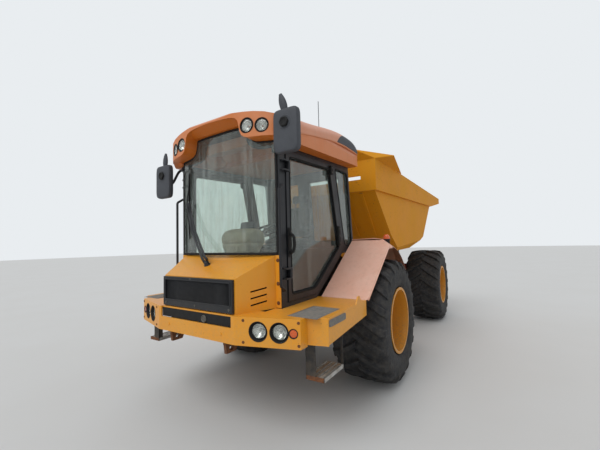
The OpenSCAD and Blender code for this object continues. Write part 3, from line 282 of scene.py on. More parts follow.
# Each finish is named for the real one, and its comment says what that gives the eye
FINISHES = {
    # Cab unit's two-pack enamel: glossy, warm yellow, dusty towards the ground
    "yellow_enamel": dict(make=paint, fresh="#E4960F", worn="#E3A233", dust="#B4905A", dust_top=1.15),
    # The tipping body's enamel: the same yellow, weathered so that it hardly mirrors the sky at a flat angle
    "body_enamel": dict(make=paint, fresh="#D88E0E", worn="#D3921C", dust="#B08A50", dust_top=1.45, chips=0.66,
                        rough=0.58, coat=0.0, over=scoured, Specular_IOR_Level=0.22),
    # Wheel rims' enamel: yellow, with a film of mud and rust in its chips
    "rim_enamel": dict(make=paint, fresh="#D8921F", worn="#C98A2A", dust="#8F7656", dust_top=0.9, rough=0.45,
                       chips=0.68),
    # The roof's ABS moulding, deep orange in front and salmon on top
    "roof_abs": dict(make=sun_faded, deep="#D0701A", pale="#CF7F52", chalk="#E0A68C", low=-0.22, high=0.4),
    # The skin over the roof: the same ABS, gone pink and chalky where the sun reaches it
    "bleached_abs": dict(make=sun_faded, deep="#CD7D4E", pale="#D89273", chalk="#E1AA92", low=-0.42, high=0.35),
    # The fenders' ABS, bleached to a light salmon all over
    "fender_abs": dict(make=sun_faded, deep="#D99C7C", pale="#EAB49D", chalk="#F0C4B1", low=-0.5, high=0.35),
    # Satin black chassis paint, brown with dust below a metre
    "chassis_paint": dict(make=plain_hard, base="#18191C", spot="#26262A", rough=0.5, size=0.08,
                          dust=("#6F604B", 1.1, 0.35)),
    # Black polyester powder coat on the cab's frame and doors: satin, fine orange peel
    "cab_powder_coat": dict(make=plain_hard, base="#131519", spot="#1D2026", rough=0.34, size=0.2,
                            dust=("#6E6558", 1.25, 0.14), grain=0.002),
    # Grained black ABS of the mirrors, bleached to a slate grey
    "black_abs": dict(make=plain_hard, base="#3B3E44", spot="#4B4E54", rough=0.52, size=0.08, amount=0.7,
                      grain=0.0025, depth=0.0003),
    # Sand-cast iron under thin grey paint, oily in patches
    "cast_iron_grey": dict(make=plain_hard, base="#4A4D50", spot="#2C2B29", rough=0.55, size=0.12, amount=0.7,
                           grain=0.006, depth=0.0006),
    # Mill-finish aluminium treads, scuffed bright with mud in the corners
    "mill_aluminium": dict(make=plain_hard, base="#C4C3BF", spot="#8E887E", rough=0.42, size=0.05, amount=0.6,
                           metallic=0.7, dust=("#8A7A64", 0.9, 0.12)),
    # Bare steel, rusted brown, worn to dark metal where things rub
    "rusty_steel": dict(make=plain_hard, base="#5E3A26", spot="#8A5A36", rough=0.75, size=0.02, amount=0.8,
                        metallic=0.2, grain=0.004, depth=0.0006),
    # Ground and chromed cylinder rods: bright, with a faint cloud
    "hard_chrome": dict(make=plain_hard, base="#C9CACC", spot="#9FA0A2", rough=0.12, size=0.03, amount=0.4,
                        metallic=1.0, grain=0.003, depth=0.00003),
    # Zinc-plated bolts gone grey
    "grey_zinc": dict(make=plain_hard, base="#77756F", spot="#4D453B", rough=0.45, size=0.01, amount=0.7,
                      metallic=0.8),
    # Grey rubber and grit of the anti-slip mats, pale with dried mud between its ribs
    "grit_rubber": dict(make=plain_hard, base="#6B6A68", spot="#8C857A", rough=0.85, size=0.03, amount=0.7,
                        grain=0.005, depth=0.0008),
    # Vapour-coated aluminium in a lamp's bowl and on a mirror
    "mirror_coating": dict(make=plain_hard, base="#E8E8E6", spot="#C9C9C5", rough=0.08, size=0.03, amount=0.5,
                           metallic=1.0, depth=0.00005),
    # Grained beige ABS of the console, yellowed a little
    "beige_abs": dict(make=plain_hard, base="#B7AE96", spot="#A39A80", rough=0.55, size=0.12, amount=0.6,
                      grain=0.0025, depth=0.0003),
    # Self-skinned polyurethane foam on the steering wheel
    "skinned_foam": dict(make=plain_hard, base="#18181A", spot="#26262A", rough=0.6, size=0.02),
    # Extruded EPDM gaskets and lamp surrounds: matt black
    "epdm_rubber": dict(make=plain_hard, base="#121212", spot="#1E1E1E", rough=0.75, size=0.05),
    # Laminated safety glass with a faint green tint
    "tinted_safety_glass": dict(make=safety_glass),
    # Clear polycarbonate lamp lens
    "clear_polycarbonate": dict(make=fluted_lens),
    # Amber acrylic of the indicators
    "amber_acrylic": dict(make=prism_lens, base="#E2661C", deep="#C2480F"),
    # Red acrylic of the tail lamps
    "red_acrylic": dict(make=prism_lens, base="#B3201A", deep="#7D1210"),
    # Black tyre rubber
    "tyre_rubber": dict(make=tyre_compound),
    # Woven seat cloth in charcoal
    "woven_seat_cloth": dict(make=weave),
}
made = {}


def finish(name):
    """The named finish, made once."""
    if name not in made:
        settings = dict(FINISHES[name])
        made[name] = settings.pop("make")(name, **settings)
    return made[name]


# Which finish each CAD node takes
NODE_FINISH = {
    "cab_powder_coat": ["grille_panel", "cab_shell", "cab_floor", "door_l", "door_r", "grab_rails"],
    "chassis_paint": ["front_frame", "hinge_yoke", "front_axle", "rear_frame", "rear_axle", "steer_barrel_l",
                      "steer_barrel_r"],
    "cast_iron_grey": ["engine_block"],
    "yellow_enamel": ["bumper", "platform_l", "platform_r", "nose_cover", "engine_deck", "tip_barrels"],
    "body_enamel": ["bed_shell", "bed_ribs", "spill_guard"],
    "rusty_steel": ["tow_lugs"],
    "amber_acrylic": ["fender_lamps"],
    "rim_enamel": ["rim_fl", "rim_fr", "rim_rl", "rim_rr"],
    "mill_aluminium": ["step_l", "step_r"],
    "clear_polycarbonate": ["headlamps", "roof_lamps"],
    "black_abs": ["mirror_l", "mirror_r", "wiper", "antenna"],
    "tinted_safety_glass": ["windscreen", "cab_glass", "door_glass_l", "door_glass_r"],
    "roof_abs": ["cab_roof"],
    "fender_abs": ["fender_l", "fender_r"],
    "woven_seat_cloth": ["seat"],
    "beige_abs": ["dash_console"],
    "skinned_foam": ["steering_wheel"],
    "red_acrylic": ["rear_lamps"],
    "hard_chrome": ["steer_rod_l", "steer_rod_r", "tip_rods"],
    "tyre_rubber": ["tyre_fl", "tyre_fr", "tyre_rl", "tyre_rr"],
}


# ---------------------------------------------------------------- surfaces

def mesh_object(name, points, faces, smooth=True):
    """A mesh object at the origin from points in metres."""
    mesh = bpy.data.meshes.new(name)
    corners = [tuple(map(int, f)) for f in faces]
    mesh.from_pydata(np.asarray(points, float).reshape(-1, 3).tolist(), [], corners)
    mesh.validate()
    if smooth:
        mesh.shade_smooth()
    o = bpy.data.objects.new(name, mesh)
    bpy.context.scene.collection.objects.link(o)
    return o


def grid_faces(rows, cols, wrap_u=False, wrap_v=False):
    """Quads of a grid of rows by columns, closed round rows (u) or columns (v) where asked."""
    i = np.arange(rows if wrap_u else rows - 1)
    j = np.arange(cols if wrap_v else cols - 1)
    i, j = [a.ravel() for a in np.meshgrid(i, j, indexing="ij")]
    a, b = i * cols + j, i * cols + (j + 1) % cols
    c, d = ((i + 1) % rows) * cols + (j + 1) % cols, ((i + 1) % rows) * cols + j
    return np.stack([a, b, c, d], 1)


def outward(o):
    """Merges doubles and turns all faces outwards."""
    bm = bmesh.new()
    bm.from_mesh(o.data)
    bmesh.ops.remove_doubles(bm, verts=bm.verts, dist=1e-5)
    bmesh.ops.dissolve_degenerate(bm, dist=1e-6, edges=bm.edges)
    bmesh.ops.recalc_face_normals(bm, faces=bm.faces)
    bm.to_mesh(o.data)
    bm.free()
    return o


def surface(name, grid, wrap_u=False, wrap_v=False, caps=False, smooth=True):
    """A surface through a grid of points, with flat ends across its columns if asked."""
    grid = np.asarray(grid, float)
    rows, cols = grid.shape[:2]
    faces = grid_faces(rows, cols, wrap_u, wrap_v).tolist()
    if caps:
        faces += [list(range(cols)), list(range((rows - 1) * cols, rows * cols))]
    return outward(mesh_object(name, grid, faces, smooth))


def frames(direction, hint=(0, 0, 1)):
    """Two unit vectors square to each direction, the first as level as the hint allows."""
    d = np.asarray(direction, float)
    d = d / np.linalg.norm(d, axis=-1, keepdims=True)
    side = np.cross(d, np.broadcast_to(np.asarray(hint, float), d.shape))
    side = side / np.linalg.norm(side, axis=-1, keepdims=True)
    return side, np.cross(side, d)


def angles(count):
    """Equal angles round a circle."""
    return np.linspace(0, 2 * pi, count, endpoint=False)


def squared(value, power):
    """What makes an ellipse a superellipse: the sign of a cosine or sine times its size to
    the power 2/n."""
    return np.sign(value) * np.abs(value) ** (2 / power)


def section(side, up, sides, flat=1.0):
    """Offsets round each point of a line: cos u * side + flat * sin u * up."""
    u = angles(sides)[None, :, None]
    return np.cos(u) * side[:, None] + flat * np.sin(u) * up[:, None]


def lathe(name, profile, centre, axis, sides=48):
    """A profile of radius and height turned about an axis:
    centre + height * axis + radius * (cos u * side + sin u * up)."""
    p = np.asarray(profile, float)
    axis = np.asarray(axis, float) / np.linalg.norm(axis)
    side, up = frames(axis, (0, 0, 1) if abs(axis[2]) < 0.9 else (0, 1, 0))
    u = angles(sides)
    ring = np.outer(np.cos(u), side) + np.outer(np.sin(u), up)
    grid = np.asarray(centre, float) + p[:, None, 1, None] * axis + p[:, None, 0, None] * ring
    return surface(name, grid, wrap_v=True)


def tube(name, path, radius, sides=12, hint=(0, 0, 1), flat=1.0, round_to=0.0):
    """A round or oval section carried along a path: path + radius * (cos u * side
    + flat * sin u * up), its ends closed. The path's corners are rounded first if asked."""
    p = np.asarray(path, float)
    if round_to:
        p = eased(p, round_to)
    side, up = frames(np.gradient(p, axis=0), hint)
    r = np.broadcast_to(np.asarray(radius, float), (len(p),))[:, None, None]
    return surface(name, p[:, None] + r * section(side, up, sides, flat), wrap_v=True, caps=True)


def loop(name, path, radius, hint, flat=1.0, round_to=0.0):
    """An eight-sided section carried once round a closed line, as tube does on an open one."""
    p = np.asarray(path, float)
    if round_to:
        p = eased(np.concatenate([p[-1:], p, p[:1]]), round_to)[1:-1]
    side, up = frames(np.roll(p, -1, axis=0) - np.roll(p, 1, axis=0), hint)
    return surface(name, p[:, None] + radius * section(side, up, 8, flat), wrap_u=True, wrap_v=True)


def eased(p, reach):
    """A line of points whose corners become parabolas of six points that start the given
    length from each corner: corner + reach * ((1-t)^2 * back + t^2 * on)."""
    back = p[:-2] - p[1:-1]
    on = p[2:] - p[1:-1]
    lb, lo = np.linalg.norm(back, axis=1, keepdims=True), np.linalg.norm(on, axis=1, keepdims=True)
    r = np.minimum(reach, np.minimum(lb, lo) * 0.48)
    t = np.linspace(0, 1, 6)[None, :, None]
    bends = p[1:-1, None] + r[:, None] * ((1 - t) ** 2 * (back / lb)[:, None] + t ** 2 * (on / lo)[:, None])
    return np.concatenate([p[:1], bends.reshape(-1, 3), p[-1:]])


def soft_block(name, a, b, power=5.0, turns=(20, 32)):
    """A block with rounded edges between two corners: a superellipsoid, each coordinate
    the product of one or two cosines or sines, each made square by the power."""
    low, high = np.minimum(a, b), np.maximum(a, b)
    v = np.linspace(-pi / 2, pi / 2, turns[0])
    u = angles(turns[1])
    rise, reach = squared(np.sin(v), power), squared(np.cos(v), power)
    unit = np.stack([np.outer(reach, squared(np.cos(u), power)), np.outer(reach, squared(np.sin(u), power)),
                     np.outer(rise, np.ones_like(u))], axis=2)
    return surface(name, (low + high) / 2 + unit * (high - low) / 2, wrap_v=True)


def rounded_plan(half_a, half_b, power=6.0, count=48):
    """A rounded rectangle as a superellipse: the squared cosine and sine times the half sizes."""
    u = angles(count)
    return np.stack([squared(np.cos(u), power) * half_a, squared(np.sin(u), power) * half_b], axis=1)


def rings(plan, share, level):
    """A grid of rings, each the plan times its share at its level."""
    level = np.broadcast_to(np.asarray(level, float)[:, None], (len(level), len(plan)))
    return np.stack([np.outer(share, plan[:, 0]), np.outer(share, plan[:, 1]), level], axis=2)


def slab(name, outline, depth, edge):
    """A flat outline carried by the vector depth, its edges bevelled."""
    a = np.asarray(outline, float)
    o = surface(name, np.stack([a, a + np.asarray(depth, float)]), wrap_v=True, caps=True, smooth=False)
    return soften(o, edge)


def rectangle(x, y, z):
    """Corners of an upright rectangle across the machine, between two x and two z."""
    return [(x[0], y, z[0]), (x[1], y, z[0]), (x[1], y, z[1]), (x[0], y, z[1])]


def upright(name, x, y, z, deep, edge):
    """A slab whose outline is such a rectangle, carried along the machine."""
    return slab(name, rectangle(x, y, z), (0, deep, 0), edge)


def soften(o, width):
    """A bevel in two steps on the edges over 30 degrees."""
    m = o.modifiers.new("edge", "BEVEL")
    m.width, m.segments, m.limit_method, m.angle_limit = width, 2, "ANGLE", radians(30)
    m.harden_normals = True
    return applied(o)


def walled(o, thickness):
    """An open surface given a wall, inwards from where it lies."""
    o.modifiers.new("wall", "SOLIDIFY").thickness = thickness
    return applied(o)


def applied(o):
    """The object with its modifiers worked into its mesh."""
    graph = bpy.context.evaluated_depsgraph_get()
    mesh = bpy.data.meshes.new_from_object(o.evaluated_get(graph))
    o.modifiers.clear()
    o.data = mesh
    return o


def repeat(name, profile, places, axis, sides=6):
    """One small turned form set at many places: the same lathe along one axis at each
    centre, as one mesh with closed tops."""
    p, c = np.asarray(profile, float), np.asarray(places, float)
    a = np.broadcast_to(np.asarray(axis, float), c.shape)
    a = a / np.linalg.norm(a, axis=1, keepdims=True)
    side, up = frames(a, (0, 0, 1) if abs(a[0, 2]) < 0.9 else (0, 1, 0))
    ring = section(side, up, sides)
    radius, height = p[None, :, None, 0, None], p[None, :, None, 1, None]
    grid = c[:, None, None] + height * a[:, None, None] + radius * ring[:, None]
    per = len(p) * sides
    first = per * np.arange(len(c))
    faces = grid_faces(len(p), sides, wrap_v=True)[None] + first[:, None, None]
    tops = np.arange(per - sides, per)[None] + first[:, None]
    return outward(mesh_object(name, grid, faces.reshape(-1, 4).tolist() + tops.tolist(), smooth=False))


def joined(name, parts):
    """Several mesh objects as one, each keeping its material."""
    with bpy.context.temp_override(active_object=parts[0], selected_objects=parts,
                                   selected_editable_objects=parts):
        bpy.ops.object.join()
    parts[0].name = name
    parts[0].data.name = name
    return parts[0]


def dress(o, finish_name, body, slot_name, replaced=()):
    """Gives a piece its finish and its body, and hides the nodes it stands for. The slot's name is not used."""
    o.data.materials.clear()
    o.data.materials.append(finish(finish_name))
    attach(o, body)
    if replaced:
        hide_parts(*replaced)
    return o


# Cushions: the voxel size of their skin, the pressure of their filling, and how many frames it swells
VOXEL, PRESSURE, SWELL = 0.006, 4.0, 20


def plumped(o, cap):
    """Swells a closed form as its filling does: a voxel skin, then cloth under inner
    pressure without gravity, each point's way cut to the cap, and one subdivision."""
    skin = o.modifiers.new("skin", "REMESH")
    skin.mode, skin.voxel_size = "VOXEL", VOXEL
    applied(o)
    start = coords(o)
    cloth = o.modifiers.new("filling", "CLOTH")
    cloth.settings.use_pressure = True
    cloth.settings.uniform_pressure_force = PRESSURE
    cloth.settings.effector_weights.gravity = 0
    cloth.point_cache.frame_start, cloth.point_cache.frame_end = 1, SWELL
    scene = bpy.context.scene
    for f in range(1, SWELL + 1):
        scene.frame_set(f)
    applied(o)
    scene.frame_set(1)
    move = coords(o) - start
    far = np.linalg.norm(move, axis=1, keepdims=True)
    set_coords(o, start + move * np.minimum(1, cap / np.maximum(far, 1e-9)))
    fine = o.modifiers.new("fine", "SUBSURF")
    fine.levels = fine.render_levels = 1
    applied(o)
    o.data.shade_smooth()
    return o


def coords(o):
    """An object's points as an array."""
    p = np.empty(len(o.data.vertices) * 3)
    o.data.vertices.foreach_get("co", p)
    return p.reshape(-1, 3)


def set_coords(o, p):
    """Moves an object's points to those of an array."""
    o.data.vertices.foreach_set("co", p.ravel())


# ---------------------------------------------------------------- places

SIDES = ((1, "l"), (-1, "r"))
TYRE = {k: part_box("tyre_" + k) for k in ("fl", "fr", "rl", "rr")}
AXLE_F = (TYRE["fl"][0].y + TYRE["fl"][1].y) / 2
AXLE_Z = (TYRE["fl"][0].z + TYRE["fl"][1].z) / 2
TYRE_R = (TYRE["fl"][1].z - TYRE["fl"][0].z) / 2
TYRE_W = TYRE["fl"][1].x - TYRE["fl"][0].x
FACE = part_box("bumper")[0].y
# The bumper's ends: how far out they bend, and the angle by which they sweep back
BEND_X, SWEEP = 0.475, np.arctan2(0.148, 0.501)
# The bowed windscreen: its middle behind the front axle, and its radius seen from above
SCREEN_Y, SCREEN_R = -1.4613, 3.5786
# How far out the doors and the quarter panes lie
DOOR_X, QUARTER_X = 0.6535, 0.6455


def at(x, y, z):
    """A point given behind the front axle, in metres."""
    return (x, AXLE_F + y, z)


def on_sweep(side, along, z):
    """A point on the swept part of the bumper, by its distance from the bend."""
    return (side * (BEND_X + along * cos(SWEEP)), FACE + along * sin(SWEEP), z)


def swept(side):
    """The way that the swept part of the bumper faces."""
    return np.array([side * sin(SWEEP), -cos(SWEEP), 0])


def screen_y(x):
    """Where the bowed windscreen stands at x, on the circle through its middle and edges."""
    return SCREEN_Y + SCREEN_R - np.sqrt(SCREEN_R ** 2 - x ** 2)


# ---------------------------------------------------------------- tyres

class DT_Tyres(bpy.types.PropertyGroup):
    lugs: IntProperty(name="Lugs", description="Lugs along each half of the tread", default=20, min=12, max=28)
    lug_height: FloatProperty(name="Lug height", description="Height of a lug above the carcass",
                              default=0.038, min=0.02, max=0.05, unit="LENGTH")
    lug_width: FloatProperty(name="Lug width", description="Width of a lug's top along the tread",
                             default=0.062, min=0.03, max=0.09, unit="LENGTH")


def tyre_profile(radius, width, bead, deep):
    """Half section of the carcass, radius over width: a crowned tread, a round
    shoulder, a bulging sidewall and the bead, as points through which a smooth line runs."""
    r, w = radius - deep, width / 2
    half = np.array([[r, 0], [r - 0.001, 0.3 * w], [r - 0.006, 0.6 * w], [r - 0.018, 0.82 * w],
                     [r - 0.042, 0.94 * w], [r - 0.085, 0.985 * w], [r - 0.14, 1.0 * w], [r - 0.19, 0.985 * w],
                     [r - 0.23, 0.95 * w], [r - 0.262, 0.90 * w], [bead + 0.022, 0.87 * w],
                     [bead + 0.012, 0.84 * w], [bead + 0.002, 0.80 * w]])
    t = np.arange(len(half))
    fine = np.linspace(0, len(half) - 1, 40)
    half = np.stack([np.interp(fine, t, half[:, k]) for k in (0, 1)], axis=1)
    half[1:-1] = (half[:-2] + 2 * half[1:-1] + half[2:]) / 4
    return np.concatenate([half[::-1] * [1, -1], half[1:]])


def tyre_lugs(radius, width, s):
    """All lugs at once. A lug runs from the tread's middle to the shoulder, its angle
    growing with its distance from the middle and its height following the crown; its
    section is a trapezium. The two halves stand half a pitch apart."""
    along = np.linspace(-0.03, 0.985, 9)
    w = width / 2
    out, shoulder = np.clip(along, 0, 1), np.clip((along - 0.86) / 0.14, 0, 1)
    top = radius - 0.002 - 0.030 * out ** 3 - 0.055 * shoulder ** 1.5
    foot = radius - s.lug_height - 0.014 - 0.06 * np.clip((along - 0.6) / 0.4, 0, 1) ** 2 - 0.05 * shoulder
    sweep = -(0.02 + 0.20 * out ** 0.85) / radius
    half = s.lug_width / 2 * (0.82 + 0.35 * out) / radius
    # Section: foot, edge, rounded top, edge, foot, as offsets in angle and a share of the height
    offset = np.array([-1.45, -1.02, -0.88, 0.88, 1.02, 1.45])
    share = np.array([0.0, 0.93, 1.0, 1.0, 0.93, 0.0])
    ang = sweep[:, None] + half[:, None] * offset[None]
    rad = foot[:, None] + (top - foot)[:, None] * share[None]
    x = np.broadcast_to((along * w)[:, None], ang.shape)
    turns = np.arange(s.lugs) * 2 * pi / s.lugs
    halves = []
    for side, shift in ((1, 0.0), (-1, 0.5)):
        a = ang[None] + turns[:, None, None] + shift * 2 * pi / s.lugs
        halves.append(np.stack([np.broadcast_to(side * x, a.shape), rad * np.sin(a), rad * np.cos(a)], axis=-1))
    grid = np.concatenate(halves)
    n, rows, cols = grid.shape[:3]
    first = (np.arange(n) * rows * cols)[:, None]
    faces = (grid_faces(rows, cols, wrap_v=True)[None] + first[:, None]).reshape(-1, 4).tolist()
    ends = np.stack([np.arange(cols) + first, np.arange(cols) + (rows - 1) * cols + first], axis=1)
    return grid.reshape(-1, 3), faces + ends.reshape(-1, cols).tolist()


class DT_OT_tyres(bpy.types.Operator):
    """Makes the four tyres: a carcass with two raised rings on each side, and staggered lugs"""
    bl_idname = "dump_truck.tyres"
    bl_label = "Tyres"

    def execute(self, context):
        s = context.scene.dump_truck_tyres
        bead = (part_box("rim_fl")[1].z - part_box("rim_fl")[0].z) / 2 - 0.016
        for k, (low, high) in TYRE.items():
            centre = np.array((low + high) / 2)
            p = tyre_profile(TYRE_R, TYRE_W, bead, s.lug_height)
            # Two raised rings on each sidewall: a bump of 3 mm at two radii
            for ring in (TYRE_R - 0.20, TYRE_R - 0.265):
                p[:, 1] += np.sign(p[:, 1]) * 0.003 * np.exp(-((p[:, 0] - ring) / 0.006) ** 2)
            p[:, 1] = np.clip(p[:, 1], -TYRE_W / 2, TYRE_W / 2)
            carcass = walled(lathe("carcass_" + k, p, centre, (1, 0, 0), 120), 0.012)
            points, faces = tyre_lugs(TYRE_R, TYRE_W, s)
            lugs = soften(outward(mesh_object("lugs_" + k, points + centre, faces, smooth=False)), 0.006)
            o = joined("tyre_piece_" + k, [carcass, lugs])
            dress(o, "tyre_rubber", "wheel_" + k, "tyre", ["tyre_" + k])
        return {"FINISHED"}


# ---------------------------------------------------------------- lamps

class DT_Lamps(bpy.types.PropertyGroup):
    head: FloatProperty(name="Headlamp", description="Diameter of a headlamp's lens", default=0.114,
                        min=0.09, max=0.13, unit="LENGTH")
    roof: FloatProperty(name="Work lamp", description="Diameter of a work lamp's lens", default=0.112,
                        min=0.08, max=0.12, unit="LENGTH")


# The pocket in the roof that a work lamp's lens is sized for
POCKET_D = 0.136


def round_lamp(name, centre, axis, lens_d, rim_d, depth, stand, cover="clear_polycarbonate"):
    """A round lamp: a bezel turned from a rolled profile, a parabolic bowl (depth times
    the square of the radius), a bulb, and a lens crowned by a tenth of its radius."""
    r, big = lens_d / 2, rim_d / 2
    out = np.asarray(centre, float) + axis * stand
    bezel = [[r - 0.002, -0.012], [r - 0.003, 0.002], [r + 0.001, 0.005], [r + 0.004, 0.004],
             [r + 0.005, -0.002], [big - 0.0035, -0.002 - 0.3 * stand], [big - 0.003, 0.002 - stand],
             [big, 0.002 - stand], [big, -0.014], [big - 0.003, -0.02]]
    dress(lathe(name + "_bezel", bezel, out, axis), "epdm_rubber", "front_unit", "black_plastic")
    t = np.linspace(0, 1, 9)
    bowl = [*np.stack([0.012 + (r - 0.014) * t, -depth + depth * 0.9 * t ** 2], 1).tolist(),
            [r + 0.001, -depth * 0.1], [r + 0.001, -depth * 0.4], [0.012, -depth - 0.003]]
    dress(lathe(name + "_bowl", bowl, out, axis, 40), "mirror_coating", "front_unit", "lamp_glass")
    bulb = [[0.001, -0.012], [0.005, -0.013], [0.0075, -0.018], [0.0075, -depth + 0.004], [0.011, -depth],
            [0.012, -depth - 0.004], [0.0005, -depth - 0.004]]
    dress(lathe(name + "_bulb", bulb, out, axis, 16), cover, "front_unit", "lamp_glass")
    t = np.linspace(0, 1, 8)
    crown = 0.1 * r * (1 - t ** 2)
    face = np.stack([np.maximum(r * t, 1e-4), crown], 1)
    inner = np.stack([np.maximum((r - 0.001) * t[::-1], 1e-4), crown[::-1] - 0.003], 1)
    dress(lathe(name + "_lens", np.concatenate([face, inner]), out, axis), cover, "front_unit", "lamp_glass")


class DT_OT_lamps(bpy.types.Operator):
    """Makes the headlamps, the indicators beside them and the roof's work lamps"""
    bl_idname = "dump_truck.lamps"
    bl_label = "Lamps"

    def execute(self, context):
        s = context.scene.dump_truck_lamps
        clear, amber = "clear_polycarbonate", "amber_acrylic"
        # Distance from the bend, lens, hole, how far the lens stands out (less than 0: back), and its cover
        row = ((0.195, s.head, 0.149, -0.022, clear), (0.360, s.head, 0.149, -0.022, clear),
               (0.468, 0.062, 0.0712, -0.004, amber))
        for side, n in SIDES:
            for i, (along, lens_d, hole_d, stand, cover) in enumerate(row):
                round_lamp(f"front_lamp_{n}{i}", on_sweep(side, along, 0.898), swept(side), lens_d, hole_d,
                           0.03, stand, cover)
        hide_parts("headlamps")
        # Where each work lamp is, how many degrees it turns out, and its pocket
        pair = ((0.435, -1.571, 2.549, 4, POCKET_D), (0.577, -1.541, 2.532, 20, 0.126))
        for side, n in SIDES:
            for i, (x, y, z, yaw, pocket_d) in enumerate(pair):
                axis = np.array([side * sin(radians(yaw)), -cos(radians(yaw)), 0])
                round_lamp(f"roof_lamp_{n}{i}", at(side * x, y, z), axis, s.roof * pocket_d / POCKET_D,
                           pocket_d - 0.001, 0.034, -0.006)
        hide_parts("roof_lamps")
        return {"FINISHED"}


# ---------------------------------------------------------------- front

class DT_Front(bpy.types.PropertyGroup):
    slats: IntProperty(name="Grille slats", description="Slats in the height of the grille",
                       default=24, min=12, max=36)
    bolt: FloatProperty(name="Bolt head", description="Width across corners of a bolt head",
                        default=0.026, min=0.016, max=0.034, unit="LENGTH")
    arm: FloatProperty(name="Wiper arm", description="Width of each bar of the wiper's double arm",
                       default=0.030, min=0.012, max=0.03, unit="LENGTH")


def bolts(name, places, axis, size, body, finish_name, slot_name):
    """Hexagon heads on washers, each a turned profile with six sides."""
    r = size / 2
    profile = [[r * 1.35, 0], [r * 1.35, r * 0.1], [r, r * 0.11], [r, r * 0.36], [r * 0.86, r * 0.46],
               [r * 0.02, r * 0.46]]
    dress(repeat(name, profile, places, axis), finish_name, body, slot_name)


